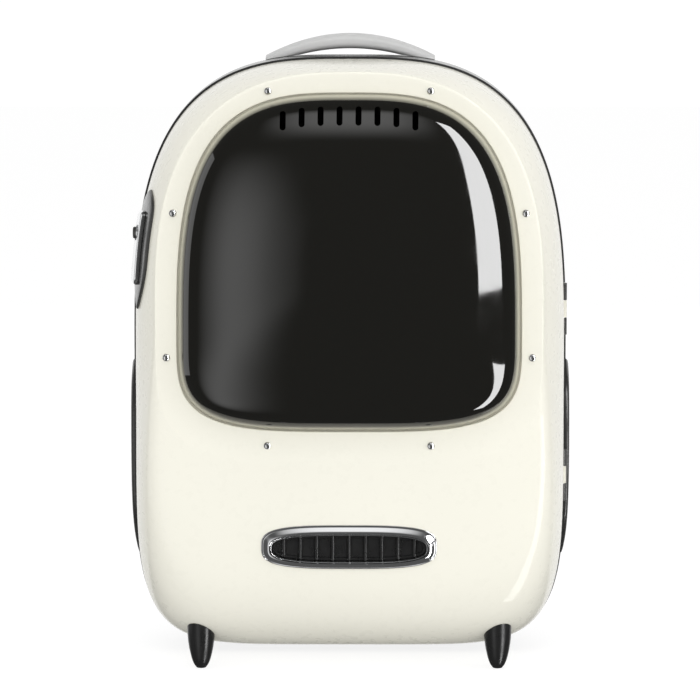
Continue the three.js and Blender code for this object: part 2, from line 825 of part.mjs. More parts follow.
const cream = finish(0xf3f0e2, 0.18);
const smoke = finish(0x1b1a16, 0.08);
const chrome = finish(0xd8dadc, 0.12, 1);
const graphite = finish(0x4a4a48, 0.32);
const black = finish(0x1d1d1d, 0.45);
const rubber = finish(0x2c2c2b, 0.7);
const grey = finish(0xcccccb, 0.5);
const mesh = finish(0x3a3b3d, 0.9);
const webbingCloth = finish(0x2b2c2e, 0.85);

// Assembly
const carrier = new THREE.Group();
const door = new THREE.Group();
const body = new THREE.Group();
carrier.add(door, body);

function addPiece(group, name, shape, material) {
  const geometry = shape.isBufferGeometry ? shape : geometryOf(shape);
  const piece = new THREE.Mesh(geometry, material);
  piece.name = name;
  group.add(piece);
  return piece;
}

addPiece(door, 'front_shell', frontShell(), cream);
addPiece(door, 'window_dome', windowDome(), smoke);
const rivetPlaces = [...rivetAngles, ...rivetAngles.map((angle) => 180 - angle)];
rivetPlaces.forEach((angle, index) => {
  const { head, place } = rivet(radians(angle));
  addPiece(door, `rivet_${index + 1}`, head, chrome).position.copy(place);
});
addPiece(door, 'vent_bezel', ventBezel(), chrome);
addPiece(door, 'vent_grille', ventGrille(), black);
addPiece(door, 'latch_plate', latchPlate(), graphite);
addPiece(door, 'latch_bar', latchBar(), chrome);
addPiece(door, 'latch_collar', latchCollar(), chrome);
addPiece(door, 'latch_button', latchButton(), graphite);

addPiece(body, 'rear_shell', rearShell(), graphite);
addPiece(body, 'seam_gasket', seamGasket(), rubber);
addPiece(body, 'handle', handle(), grey);
addPiece(body, 'back_pad', backPad(), mesh);
for (const [name, height] of Object.entries(hingeHeights)) {
  addPiece(body, `hinge_pin_${name}`, hingePin(height), chrome);
}
for (const [name, side] of [['left', -1], ['right', 1]]) {
  addPiece(door, `foot_front_${name}`, foot(side, seamY - footFrontDepth, frontForm), black);
  addPiece(body, `foot_rear_${name}`, foot(side, rearStart + footRearDepth, rearForm), black);
  addPiece(body, `side_panel_${name}`, sidePanel(side), graphite);
  addPiece(body, `side_ring_${name}`, sideRing(side), chrome);
  addPiece(body, `side_grille_${name}`, sideGrille(side), black);
  addPiece(body, `shoulder_strap_${name}`, strap(side), mesh);
  addPiece(body, `strap_buckle_${name}`, buckle(side), black);
  addPiece(body, `strap_webbing_${name}`, webbing(side), webbingCloth);
  addPiece(body, `strap_anchor_${name}`, anchor(side), black);
}

// The origin lies under the middle of the whole pack.
const extent = new THREE.Box3().setFromObject(carrier);
carrier.position.y = -(extent.min.y + extent.max.y) / 2;

export default carrier;
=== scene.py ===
import math

import bpy
import numpy as np
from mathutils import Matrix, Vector
from mathutils.bvhtree import BVHTree


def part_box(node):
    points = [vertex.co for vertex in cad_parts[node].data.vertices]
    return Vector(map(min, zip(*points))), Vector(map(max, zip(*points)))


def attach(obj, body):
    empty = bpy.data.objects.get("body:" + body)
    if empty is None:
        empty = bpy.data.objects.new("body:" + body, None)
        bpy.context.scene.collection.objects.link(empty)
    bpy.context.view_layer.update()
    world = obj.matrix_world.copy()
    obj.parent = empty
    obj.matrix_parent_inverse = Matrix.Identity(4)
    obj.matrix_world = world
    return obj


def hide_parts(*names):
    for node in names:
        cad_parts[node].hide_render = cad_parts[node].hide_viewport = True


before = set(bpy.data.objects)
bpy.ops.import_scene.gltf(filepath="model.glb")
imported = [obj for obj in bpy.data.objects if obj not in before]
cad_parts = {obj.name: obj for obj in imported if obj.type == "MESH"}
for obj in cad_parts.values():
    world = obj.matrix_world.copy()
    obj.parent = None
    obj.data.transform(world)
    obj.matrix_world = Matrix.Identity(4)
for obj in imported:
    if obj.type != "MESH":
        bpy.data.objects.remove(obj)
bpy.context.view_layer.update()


# FRONT SHELL
# The door of the pack: one thick injection moulding in gloss ivory ABS. A ridge parts its rounded
# sides from a dished flange round the window; its lower front is flat and carries the vent.
mm = 0.001
clearance = 0.3 * mm
seam_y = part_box("seam_gasket")[0][1] - clearance
shell_half_width = 150.8 * mm
shell_wall = 3 * mm
sill_depth = 96 * mm
brow_depth = 79 * mm
front_bow = 0.05
ridge_sill = 149 * mm
ridge_top = 416.2 * mm
flange_dish = 2.6 * mm
ridge_round = 1.5 * mm
edge_round = 0.7 * mm
ring_steps = 256
ivory = (0.86, 0.843, 0.745)


def outline(half_width, top, bottom, widest_share, top_power, bottom_power):
    """Two half superellipses that meet at the widest level."""
    widest = bottom + (top - bottom) * widest_share
    return {"half_width": half_width * mm, "top": top * mm, "bottom": bottom * mm,
            "widest": widest * mm, "top_power": top_power, "bottom_power": bottom_power}


seam_outline = outline(150.8, 421, 8, 0.5, 3.05, 6)
ridge_outline = outline(133.5, 416.2, 149, 0.41, 2.6, 4.67)
window_outline = outline(118.9, 402, 169.3, 0.287, 3.1, 3.93)
turns = np.linspace(0, 2 * math.pi, ring_steps, endpoint=False)


def outline_ring(shape, angles, grow=0.0):
    """X and Z of an outline's points at the given angles, grown outwards by a length."""
    across, up = np.cos(angles), np.sin(angles)
    power = np.where(up >= 0, shape["top_power"], shape["bottom_power"])
    reach = np.where(up >= 0, shape["top"] - shape["widest"], shape["widest"] - shape["bottom"])
    scale = (np.abs(across) ** power + np.abs(up) ** power) ** (-1 / power)
    return np.stack([(shape["half_width"] + grow) * across * scale,
                     shape["widest"] + (reach + grow) * up * scale], axis=-1)


def on_front(points, depth):
    """Places X and Z points at a depth in front of the seam, on the bow of the front."""
    bowed = depth * (1 - front_bow * (points[:, 0] / shell_half_width) ** 2)
    return np.stack([points[:, 0], seam_y - bowed, points[:, 1]], axis=-1)


def ridge_depth(height):
    """Depth of the leaning plane that the ridge lies in."""
    return sill_depth + (brow_depth - sill_depth) * (height - ridge_sill) / (ridge_top - ridge_sill)


def smooth_rows(rows, steps):
    """Rows between the rows of a table, on smooth curves through them."""
    rows = np.array(rows, float)
    padded = np.vstack([2 * rows[0] - rows[1], rows, 2 * rows[-1] - rows[-2]])
    out = []
    for i, count in enumerate(steps):
        a, b, c, d = padded[i:i + 4]
        for k in range(count):
            t = k / count
            out.append(b + 0.5 * t * (c - a + t * (2 * a - 5 * b + 4 * c - d + t * (3 * (b - c) + d - a))))
    return np.array(out + [rows[-1]])


def soften(rings, level, reach, steps=4):
    """Rounds the crease at one ring: a curve from a little before it to a little after it."""
    before, crease, after = rings[level - 1], rings[level], rings[level + 1]

    def near(other):
        away = other - crease
        length = np.linalg.norm(away, axis=1, keepdims=True)
        return crease + away / length * np.minimum(reach, length * 0.45)

    start, end = near(before), near(after)
    curve = [(1 - t) ** 2 * start + 2 * t * (1 - t) * crease + t ** 2 * end
             for t in np.linspace(0, 1, steps + 1)]
    return rings[:level] + curve + rings[level + 1:]


def offset_rings(rings, distance, inside, rims=None):
    """Rings moved along their surface normals; rims gives the direction kept at single rings."""
    moved = []
    for level, ring in enumerate(rings):
        along = rings[min(level + 1, len(rings) - 1)] - rings[max(level - 1, 0)]
        round_it = np.roll(ring, -1, axis=0) - np.roll(ring, 1, axis=0)
        normal = np.cross(along, round_it)
        normal *= np.sign(np.sum(normal * (ring - inside), axis=1, keepdims=True))
        normal /= np.linalg.norm(normal, axis=1, keepdims=True)
        rim = (rims or {}).get(level)
        if rim == "flat":
            normal[:, 1] = 0
            normal /= np.linalg.norm(normal, axis=1, keepdims=True)
        if rim == "back":
            normal[:] = (0, -1, 0)
        moved.append(ring + normal * distance)
    return moved


def ring_body(name, rings, closed=True, crease=35):
    """A closed body from rings of points: a loop of rings, or a row of rings with filled ends."""
    points = np.vstack(rings)
    count = len(rings[0])
    here = np.arange(count)
    after = (here + 1) % count
    pairs = [(i, i + 1) for i in range(len(rings) - 1)]
    if closed:
        pairs.append((len(rings) - 1, 0))
    faces = []
    for a, b in pairs:
        faces += np.stack([a * count + here, a * count + after, b * count + after,
                           b * count + here], axis=1).tolist()
    if not closed:
        middles = [rings[0].mean(axis=0), rings[-1].mean(axis=0)]
        points = np.vstack([points, middles])
        first, last = len(points) - 2, (len(rings) - 1) * count
        faces += [[first, b, a] for a, b in zip(here, after)]
        faces += [[len(points) - 1, last + a, last + b] for a, b in zip(here, after)]
    fan = np.array([[f[0], f[i], f[i + 1]] for f in faces for i in range(1, len(f) - 1)])
    a, b, c = (points[fan[:, k]] for k in range(3))
    if np.sum(a * np.cross(b, c)) < 0:
        faces = [list(reversed(f)) for f in faces]
    mesh = bpy.data.meshes.new(name)
    mesh.from_pydata(points.tolist(), [], [[int(i) for i in f] for f in faces])
    mesh.shade_smooth()
    mesh.set_sharp_from_angle(angle=math.radians(crease))
    piece = bpy.data.objects.new(name, mesh)
    bpy.context.collection.objects.link(piece)
    return piece


def baked(piece, crease=None):
    """Applies a piece's modifiers to its mesh."""
    result = bpy.data.meshes.new_from_object(
        piece.evaluated_get(bpy.context.evaluated_depsgraph_get()))
    piece.modifiers.clear()
    piece.data = result
    if crease is not None:
        result.shade_smooth()
        result.set_sharp_from_angle(angle=math.radians(crease))
    return piece


def cut(piece, cutters, operation="DIFFERENCE", crease=35):
    """Cuts bodies out of a piece, or joins them to it."""
    for cutter in cutters:
        step = piece.modifiers.new("cut", "BOOLEAN")
        step.object = cutter
        step.operation = operation
        step.solver = "EXACT"
        baked(piece)
    for cutter in cutters:
        bpy.data.objects.remove(cutter)
    piece.data.shade_smooth()
    piece.data.set_sharp_from_angle(angle=math.radians(crease))
    return piece


def rod(name, radius, start, end, sides=32):
    """A round rod between two points."""
    start, end = np.array(start), np.array(end)
    axis = (end - start) / np.linalg.norm(end - start)
    side = np.cross(axis, (0.31, 0.52, 0.8))
    side /= np.linalg.norm(side)
    other = np.cross(axis, side)
    around = np.linspace(0, 2 * math.pi, sides, endpoint=False)[:, None]
    ring = radius * (np.cos(around) * side + np.sin(around) * other)
    return ring_body(name, [start + ring, end + ring], closed=False)


front_sections = [
    (1, 0, 1, 0), (0.97, 0.22, 0.985, 0.3), (0.89, 0.43, 0.95, 0.56), (0.77, 0.6, 0.885, 0.76),
    (0.6, 0.74, 0.79, 0.905), (0.4, 0.85, 0.66, 0.985), (0.22, 0.925, 0.5, 1.01),
    (0.1, 0.968, 0.24, 1.01), (0, 1, 0, 1)]


def front_ring(row, grow=0.0):
    """One section of the front shell: shares of the way from the ridge to the seam, and of depth."""
    low = np.clip((-np.sin(turns) - 0.15) / 0.7, 0, 1)
    low = low * low * (3 - 2 * low)
    spread = (row[0] * (1 - low) + row[2] * low)[:, None]
    share = row[1] * (1 - low) + row[3] * low
    ridge = outline_ring(ridge_outline, turns)
    seam = outline_ring(seam_outline, turns, grow)
    return on_front(ridge + (seam - ridge) * spread, ridge_depth(ridge[:, 1]) * share)


def flange_ring(angles, share):
    """A line round the flange, from the ridge (0) to the window's edge (1)."""
    ridge = outline_ring(ridge_outline, angles)
    point = ridge + (outline_ring(window_outline, angles) - ridge) * share
    return on_front(point, ridge_depth(point[:, 1]) - flange_dish * share)


shell_middle_z = 214.5 * mm
front_inside = np.array((0, seam_y - sill_depth / 3, shell_middle_z))
front_skin = [front_ring(row) for row in smooth_rows(front_sections, (5, 5, 5, 5, 5, 5, 4, 1))]
front_coarse = [front_ring(row) for row in smooth_rows(front_sections[:7] + front_sections[8:],
                                                       (2, 2, 2, 2, 2, 2, 1))]
window_edge = flange_ring(turns, 1)
front_outer = soften(front_skin + [flange_ring(turns, 0.3), flange_ring(turns, 0.65), window_edge,
                                   window_edge + (0, shell_wall, 0)],
                     len(front_skin) + 2, edge_round)
front_outer = soften(front_outer, len(front_skin) - 1, ridge_round)
front_inner = offset_rings(front_coarse + [flange_ring(turns, 0.5), window_edge], -shell_wall,
                           front_inside, {0: "flat", len(front_coarse) + 1: "back"})
front_shell = ring_body("ivory_front_shell", front_outer + front_inner[:-1][::-1])
front_tree = BVHTree.FromObject(front_shell, bpy.context.evaluated_depsgraph_get())

# The vent opening, the hole of the latch button and the door's hinge knuckles are cut or joined here.
vent_steps = 128
vent_face = sill_depth * 1.01
vent_sleeve = 8 * mm
sleeve_wall = 1.6 * mm
vent_power = 3.4
mouth_power = 3.0
vent_outline = outline(60.7, 105.2, 74.6, 0.5, vent_power, vent_power)
mouth_outline = outline(53.2, 97.6, 79.4, 0.5, mouth_power, mouth_power)
vent_turns = np.linspace(0, 2 * math.pi, vent_steps, endpoint=False)


def vent_ring(share, grow, rise):
    """A line round the vent, from the bezel's outside (0) to its mouth (1)."""
    outer = outline_ring(vent_outline, vent_turns, grow)
    mouth = outline_ring(mouth_outline, vent_turns, grow)
    return on_front(outer + (mouth - outer) * share, vent_face + rise)


latch_y = seam_y - 54 * mm * (1 - front_bow)
button_height = 303.3 * mm
button_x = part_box("latch_button")[0][0]
hinge_x = shell_half_width
hinge_heights = (127 * mm, 245 * mm)
knuckle_radius = 2.1 * mm
knuckle_length = 12 * mm
knuckle_room = knuckle_radius + 0.45 * mm
stem_bore = 2.1 * mm
stem_reach = 20 * mm

vent_hole = ring_body("vent_hole", [vent_ring(1, sleeve_wall + clearance, 10 * mm),
                                    vent_ring(1, sleeve_wall + clearance, -16 * mm)], closed=False)
stem_hole = rod("stem_hole", stem_bore, (button_x, latch_y, button_height),
                (button_x + stem_reach, latch_y, button_height))
rooms = []
knuckles = []
for middle in hinge_heights:
    half = knuckle_length / 2
    for side in (-1, 1):
        near = middle + side * (half - 0.01 * mm)
        far = middle + side * (half + knuckle_length + 2 * clearance)
        rooms.append(rod("knuckle_room", knuckle_room, (hinge_x, seam_y, near), (hinge_x, seam_y, far)))
    knuckles.append(rod("door_knuckle", knuckle_radius, (hinge_x, seam_y, middle - half),
                        (hinge_x, seam_y, middle + half)))
pin_low, pin_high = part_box("hinge_pin_lower")
pin_bore = (pin_high[0] - pin_low[0]) / 2 + 0.16 * mm


def pin_holes():
    return [rod("pin_hole", pin_bore, (hinge_x, seam_y, middle - 2 * knuckle_length),
                (hinge_x, seam_y, middle + 2 * knuckle_length)) for middle in hinge_heights]


cut(front_shell, [vent_hole, stem_hole] + rooms)
cut(front_shell, knuckles, "UNION")
cut(front_shell, pin_holes())


def finish_of(name, **values):
    """A material with its shader's values set; returns it with its nodes, links and shader."""
    material = bpy.data.materials.new(name)
    material.use_nodes = True
    nodes, links = material.node_tree.nodes, material.node_tree.links
    shader = nodes["Principled BSDF"]
    for key, value in values.items():
        socket = shader.inputs[key.replace("_", " ")]
        socket.default_value = (*value, 1) if socket.type == "RGBA" and len(value) == 3 else value
    return material, nodes, links, shader


def mottle(nodes, links, scale, detail=3.0, roughness=0.5):
    """Soft noise on the piece's own coordinates, for mottling and for bump."""
    place = nodes.new("ShaderNodeTexCoord")
    noise = nodes.new("ShaderNodeTexNoise")
    noise.inputs["Scale"].default_value = scale
    noise.inputs["Detail"].default_value = detail
    noise.inputs["Roughness"].default_value = roughness
    links.new(place.outputs["Object"], noise.inputs["Vector"])
    return noise


def spread_to(nodes, links, source, socket, low, high, start=0.35, end=0.65):
    """Maps a noise to a span of values or colours and feeds it to a socket."""
    ramp = nodes.new("ShaderNodeValToRGB")
    first, last = ramp.color_ramp.elements
    first.position, last.position = start, end
    first.color = (*low, 1) if isinstance(low, tuple) else (low, low, low, 1)
    last.color = (*high, 1) if isinstance(high, tuple) else (high, high, high, 1)
    links.new(source.outputs["Fac"], ramp.inputs["Fac"])
    links.new(ramp.outputs["Color"], socket)


def raise_by(nodes, links, shader, source, distance, strength=1.0, before=None):
    """Bumps a surface by a texture; returns the bump, so that another can follow it."""
    bump = nodes.new("ShaderNodeBump")
    bump.inputs["Distance"].default_value = distance
    bump.inputs["Strength"].default_value = strength
    links.new(source.outputs[0], bump.inputs["Height"])
    if before is not None:
        links.new(before.outputs["Normal"], bump.inputs["Normal"])
    links.new(bump.outputs["Normal"], shader.inputs["Normal"])
    return bump


ivory_gloss, nodes, links, shader = finish_of(
    "ivory_gloss", Roughness=0.3, IOR=1.46, Coat_Weight=0.3, Coat_Roughness=0.03,
    Specular_IOR_Level=0.15)
spread_to(nodes, links, mottle(nodes, links, 7), shader.inputs["Base Color"],
          tuple(c * 0.99 for c in ivory), tuple(min(1, c * 1.01) for c in ivory))
spread_to(nodes, links, mottle(nodes, links, 160, 2), shader.inputs["Roughness"], 0.26, 0.34)
front_shell.data.materials.append(ivory_gloss)
# Light that grazes the roundings would darken single facets, so their shadows start further in.
facet_offset = 0.4
front_shell.cycles.shadow_terminator_offset = facet_offset
front_shell.cycles.shadow_terminator_geometry_offset = facet_offset
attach(front_shell, "door")
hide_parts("front_shell")


# BUBBLE WINDOW
# A smoked pane, blown from one sheet: a steep wall round a full crown, with a lip tucked behind the
# flange and held there by the rivets. Eight rounded slots are milled through its top.
pane_thickness = 2.4 * mm
pane_tuck = 8 * mm
pane_rise = 29.4 * mm
pane_centre_share = 0.52
slot_count = 8
slot_pitch = 12.95 * mm
slot_half_width = 2.1 * mm
slot_half_height = 6.4 * mm
slot_drop = 14.8 * mm
slot_steps = 24
pane_behind = shell_wall + clearance
pane_centre = np.array((0, window_outline["bottom"] + pane_centre_share
                        * (window_outline["top"] - window_outline["bottom"])))
pane_sections = [(0.95, 1.012), (0.74, 1), (0.505, 0.925), (0.32, 0.81), (0.185, 0.673), (0.084, 0.51),
                 (0.0387, 0.327), (0.0202, 0.163), (0.0076, 0)]


def pane_ring(inset, rise):
    """A line round the pane: a share of the way in from its edge, and a rise off the flange."""
    edge = outline_ring(window_outline, turns, -clearance)
    point = edge + (pane_centre - edge) * inset
    return on_front(point, ridge_depth(point[:, 1]) - flange_dish + rise)


def lip_ring(grow, rise):
    point = outline_ring(window_outline, turns, grow)
    return on_front(point, ridge_depth(point[:, 1]) - flange_dish + rise)


pane_inside = np.array((0, seam_y, pane_centre[1]))
pane_outer = [pane_ring(inset, rise * pane_rise)
              for inset, rise in smooth_rows(pane_sections, (3, 5, 5, 6, 7, 5, 4, 3))]
neck = pane_ring(pane_sections[-1][0], -pane_behind)
pane_inner = offset_rings(pane_outer[::3] + [neck], -pane_thickness, pane_inside)
heel = pane_inner.pop() + (0, pane_thickness, 0)
window_dome = ring_body(
    "smoked_window",
    pane_outer + [neck, lip_ring(pane_tuck, -pane_behind),
                  lip_ring(pane_tuck, -pane_behind - pane_thickness), heel] + pane_inner[::-1],
    closed=False)

slots = []
for index in range(slot_count):
    x = (index - (slot_count - 1) / 2) * slot_pitch
    angle = math.acos(x / window_outline["half_width"])
    z = outline_ring(window_outline, np.array([angle]))[0][1] - slot_drop
    straight = slot_half_height - slot_half_width
    around = np.linspace(0, 2 * math.pi, slot_steps, endpoint=False)
    ring = np.stack([x + slot_half_width * np.cos(around), np.zeros(slot_steps),
                     z + slot_half_width * np.sin(around) + straight * np.sign(np.sin(around + 1e-9))],
                    axis=-1)
    slots.append(ring_body("slot", [ring + (0, seam_y - 150 * mm, 0), ring + (0, seam_y - 50 * mm, 0)],
                           closed=False))
cut(window_dome, slots)

# The pane's steep wall is painted pale ivory next to the flange, fading to the smoke colour about a third of
# the way up: a painted reflection.
points = np.array([vertex.co for vertex in window_dome.data.vertices])
flange = ridge_depth(points[:, 2]) - flange_dish
height = (seam_y - points[:, 1]) / (1 - front_bow * (points[:, 0] / shell_half_width) ** 2) - flange
rim_reflection_height = window_dome.data.attributes.new("rim_reflection_height", "FLOAT", "POINT")
rim_reflection_height.data.foreach_set("value", np.clip(height / pane_rise, 0, 1))
smoke = (0.0045, 0.0042, 0.0028)
smoked_gloss, nodes, links, shader = finish_of(
    "smoked_gloss", Base_Color=smoke, Roughness=0.045, IOR=1.5, Specular_IOR_Level=1.0)
spread_to(nodes, links, mottle(nodes, links, 40, 2), shader.inputs["Roughness"], 0.03, 0.06)
wall = nodes.new("ShaderNodeAttribute")
wall.attribute_name = "rim_reflection_height"
# Painted reflection: pale ivory at the pane's foot, dark smoke higher up its wall.
ramp = nodes.new("ShaderNodeValToRGB")
ramp.color_ramp.elements[0].color = (0.6, 0.58, 0.49, 1)
ramp.color_ramp.elements[1].position = 0.34
ramp.color_ramp.elements[1].color = (*smoke, 1)
for position, colour in ((0.1, (0.5, 0.485, 0.39)), (0.2, (0.27, 0.26, 0.2)),
                         (0.3, (0.06, 0.057, 0.042))):
    stop = ramp.color_ramp.elements.new(position)
    stop.color = (*colour, 1)
links.new(wall.outputs["Fac"], ramp.inputs["Fac"])
links.new(ramp.outputs["Color"], shader.inputs["Base Color"])
window_dome.data.materials.append(smoked_gloss)
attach(window_dome, "door")
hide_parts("window_dome")


# RIVETS
# Eight plated rivets clamp the pane's lip behind the flange. Each is a low turned dome on a thin
# washer, square to the flange.
rivet_radius = 2.7 * mm
rivet_height = 1.7 * mm
rivet_angles = np.radians([65.3, 24.8, -17.2, -65.8])
rivet_angles = np.concatenate([rivet_angles, math.pi - rivet_angles])


def node_tree(name, sizes):
    """A geometry tree with a mesh in, named sizes and a mesh out."""
    tree = bpy.data.node_groups.new(name, "GeometryNodeTree")
    tree.interface.new_socket("Geometry", in_out="INPUT", socket_type="NodeSocketGeometry")
    for key, value in sizes.items():
        kind = "NodeSocketInt" if isinstance(value, int) else "NodeSocketFloat"
        socket = tree.interface.new_socket(key, in_out="INPUT", socket_type=kind)
        socket.default_value = value
    tree.interface.new_socket("Material", in_out="INPUT", socket_type="NodeSocketMaterial")
    tree.interface.new_socket("Geometry", in_out="OUTPUT", socket_type="NodeSocketGeometry")
    start = tree.nodes.new("NodeGroupInput")
    end = tree.nodes.new("NodeGroupOutput")

    def add(kind, links=None, **settings):
        node = tree.nodes.new(kind)
        for key, value in settings.items():
            setattr(node, key, value)
        for socket, source in (links or {}).items():
            if isinstance(source, bpy.types.NodeSocket):
                tree.links.new(source, node.inputs[socket])
            else:
                node.inputs[socket].default_value = source
        return node

    def close(geometry):
        real = add("GeometryNodeRealizeInstances", {"Geometry": geometry})
        smooth = add("GeometryNodeSetShadeSmooth", {"Geometry": real.outputs[0]})
        paint = add("GeometryNodeSetMaterial", {"Geometry": smooth.outputs[0],
                                                "Material": start.outputs["Material"]})
        tree.links.new(paint.outputs[0], end.inputs[0])

    return tree, start, add, close


def grown(name, base, tree, sizes, material, crease=35):
    """Runs a geometry tree on a base mesh and returns the result as a plain piece."""
    piece = bpy.data.objects.new(name, base)
    bpy.context.collection.objects.link(piece)
    step = piece.modifiers.new("tree", "NODES")
    step.node_group = tree
    for socket in tree.interface.items_tree:
        if socket.in_out == "INPUT" and socket.name in sizes:
            step[socket.identifier] = sizes[socket.name]
        if socket.in_out == "INPUT" and socket.name == "Material":
            step[socket.identifier] = material
    return baked(piece, crease)


def marked_points(name, points, **marks):
    """A mesh of loose points, with a vector or a number stored on each."""
    mesh = bpy.data.meshes.new(name)
    mesh.from_pydata([tuple(map(float, p)) for p in points], [], [])
    for key, values in marks.items():
        values = np.array(values, float)
        kind, field = ("FLOAT_VECTOR", "vector") if values.ndim == 2 else ("FLOAT", "value")
        mark = mesh.attributes.new(key, kind, "POINT")
        mark.data.foreach_set(field, values.ravel())
    return mesh


bright_chrome, nodes, links, shader = finish_of(
    "bright_chrome", Base_Color=(0.78, 0.785, 0.79), Metallic=1.0, Roughness=0.07)
spread_to(nodes, links, mottle(nodes, links, 90, 2), shader.inputs["Roughness"], 0.05, 0.11)
raise_by(nodes, links, shader, mottle(nodes, links, 260, 2), 0.00001, 0.4)

rivet_sizes = {"Radius": rivet_radius, "Height": rivet_height}
rivet_tree, start, add, close = node_tree("rivet_heads", rivet_sizes)
blank = add("GeometryNodeMeshCylinder", {"Vertices": 40, "Side Segments": 10, "Fill Segments": 3,
                                         "Radius": start.outputs["Radius"],
                                         "Depth": start.outputs["Height"]})
place = add("GeometryNodeInputPosition")
parts = add("ShaderNodeSeparateXYZ", {0: place.outputs[0]})
level = add("ShaderNodeMath", {0: parts.outputs["Z"], 1: start.outputs["Height"]}, operation="DIVIDE")
level = add("ShaderNodeMath", {0: level.outputs[0], 1: 0.5}, operation="ADD", use_clamp=True)
bulge = add("ShaderNodeMath", {0: level.outputs[0], 1: 2.6}, operation="POWER")
bulge = add("ShaderNodeMath", {0: 1.0, 1: bulge.outputs[0]}, operation="SUBTRACT", use_clamp=True)
bulge = add("ShaderNodeMath", {0: bulge.outputs[0], 1: 0.5}, operation="POWER")
bulge = add("ShaderNodeMath", {0: bulge.outputs[0], 1: 0.25}, operation="MAXIMUM")
scaled = add("ShaderNodeVectorMath", {0: place.outputs[0], "Scale": bulge.outputs[0]}, operation="SCALE")
flat = add("ShaderNodeSeparateXYZ", {0: scaled.outputs[0]})
lifted = add("ShaderNodeMath", {0: level.outputs[0], 1: start.outputs["Height"]}, operation="MULTIPLY")
rebuilt = add("ShaderNodeCombineXYZ", {0: flat.outputs["X"], 1: flat.outputs["Y"], 2: lifted.outputs[0]})
head = add("GeometryNodeSetPosition", {"Geometry": blank.outputs["Mesh"], "Position": rebuilt.outputs[0]})
facing = add("GeometryNodeInputNamedAttribute", {"Name": "facing"}, data_type="FLOAT_VECTOR")
turned = add("FunctionNodeAlignRotationToVector", {"Vector": facing.outputs[0]}, axis="Z")
spots = add("GeometryNodeInstanceOnPoints", {"Points": start.outputs["Geometry"],
                                             "Instance": head.outputs[0], "Rotation": turned.outputs[0]})
close(spots.outputs[0])

rivet_places = flange_ring(rivet_angles, 0.5)
inward = flange_ring(rivet_angles, 0.55) - rivet_places
along = flange_ring(rivet_angles + 0.01, 0.5) - rivet_places
rivet_facing = np.cross(inward, along)
rivet_facing /= np.linalg.norm(rivet_facing, axis=1, keepdims=True)
rivet_facing *= np.where(rivet_facing[:, 1:2] > 0, -1, 1)
rivets = grown("window_rivets",
               marked_points("rivet_places", rivet_places + rivet_facing * 0.05 * mm, facing=rivet_facing),
               rivet_tree, rivet_sizes, bright_chrome)
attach(rivets, "door")
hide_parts(*[f"rivet_{index}" for index in range(1, 9)])


# FRONT VENT
# A plated bezel, beaded at its outer edge and rising to a crest round its mouth, is pushed into the door
# by its sleeve. Behind it lies a black grille moulded with nine upright ribs.
vent_ribs = 9
vent_rib_pitch = 11.25 * mm
vent_rib_width = 3.4 * mm
vent_rib_depth = 3 * mm
vent_back = 1.6 * mm
bezel_profile = [(0, 0, 0.3), (0, 0, 0.7), (0.03, 0, 1.0), (0.08, 0, 1.15), (0.13, 0, 0.95),
                 (0.17, 0, 0.85), (0.22, 0, 1.05), (0.4, 0, 1.85), (0.58, 0, 2.65), (0.7, 0, 3.0),
                 (0.78, 0, 2.95), (0.85, 0, 2.2), (0.89, 0, 1.4), (0.92, 0, 1.25), (0.955, 0, 1.3),
                 (0.99, 0, 0.95), (1, 0, 0.4), (1, 0, -8), (1, 1.6, -8), (1, 1.6, 0.3)]
vent_bezel = ring_body("vent_bezel_ring", [vent_ring(share, grow * mm, rise * mm)
                                           for share, grow, rise in bezel_profile], crease=50)
vent_bezel.data.materials.append(bright_chrome)
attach(vent_bezel, "door")
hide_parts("vent_bezel")

gloss_black, nodes, links, shader = finish_of(
    "gloss_black", Base_Color=(0.012, 0.012, 0.012), Roughness=0.3, Specular_IOR_Level=0.5)
spread_to(nodes, links, mottle(nodes, links, 120, 3), shader.inputs["Roughness"], 0.26, 0.38)
raise_by(nodes, links, shader, mottle(nodes, links, 900, 2), 0.00003, 0.5)

bar_tree, start, add, close = node_tree("moulded_bars", {"Sides": 20, "Ends": 3})
blank = add("GeometryNodeMeshCylinder", {"Vertices": start.outputs["Sides"], "Side Segments": 4,
                                         "Fill Segments": start.outputs["Ends"], "Radius": 1.0,
                                         "Depth": 2.0})
sizes = add("GeometryNodeInputNamedAttribute", {"Name": "size"}, data_type="FLOAT_VECTOR")
angles = add("GeometryNodeInputNamedAttribute", {"Name": "turn"}, data_type="FLOAT_VECTOR")
turned = add("FunctionNodeEulerToRotation", {0: angles.outputs[0]})
spots = add("GeometryNodeInstanceOnPoints", {
    "Points": start.outputs["Geometry"], "Instance": blank.outputs["Mesh"], "Rotation": turned.outputs[0],
    "Scale": sizes.outputs[0]})
close(spots.outputs[0])

rib_x = (np.arange(vent_ribs) - (vent_ribs - 1) / 2) * vent_rib_pitch
mouth_half = mouth_outline["half_width"] - clearance
mouth_height = (mouth_outline["top"] - mouth_outline["bottom"]) / 2 - clearance
rib_reach = (np.abs(rib_x) + vent_rib_width / 2) / mouth_half
rib_half = mouth_height * (1 - rib_reach ** mouth_power) ** (1 / mouth_power)
rib_spots = on_front(np.stack([rib_x, np.full(vent_ribs, mouth_outline["widest"])], axis=-1),
                     vent_face - vent_sleeve + vent_back + 0.4 * mm)
rib_sizes = np.stack([np.full(vent_ribs, vent_rib_width / 2), np.full(vent_ribs, vent_rib_depth - 0.4 * mm),
                      rib_half], axis=-1)
vent_ribs_piece = grown("vent_ribs", marked_points("rib_spots", rib_spots, size=rib_sizes,
                                                   turn=np.zeros((vent_ribs, 3))),
                        bar_tree, {"Sides": 20, "Ends": 1}, gloss_black)
vent_back_plate = ring_body("vent_back_plate", [
    vent_ring(1, -clearance, -vent_sleeve), vent_ring(1, -clearance, -vent_sleeve + vent_back)],
    closed=False)
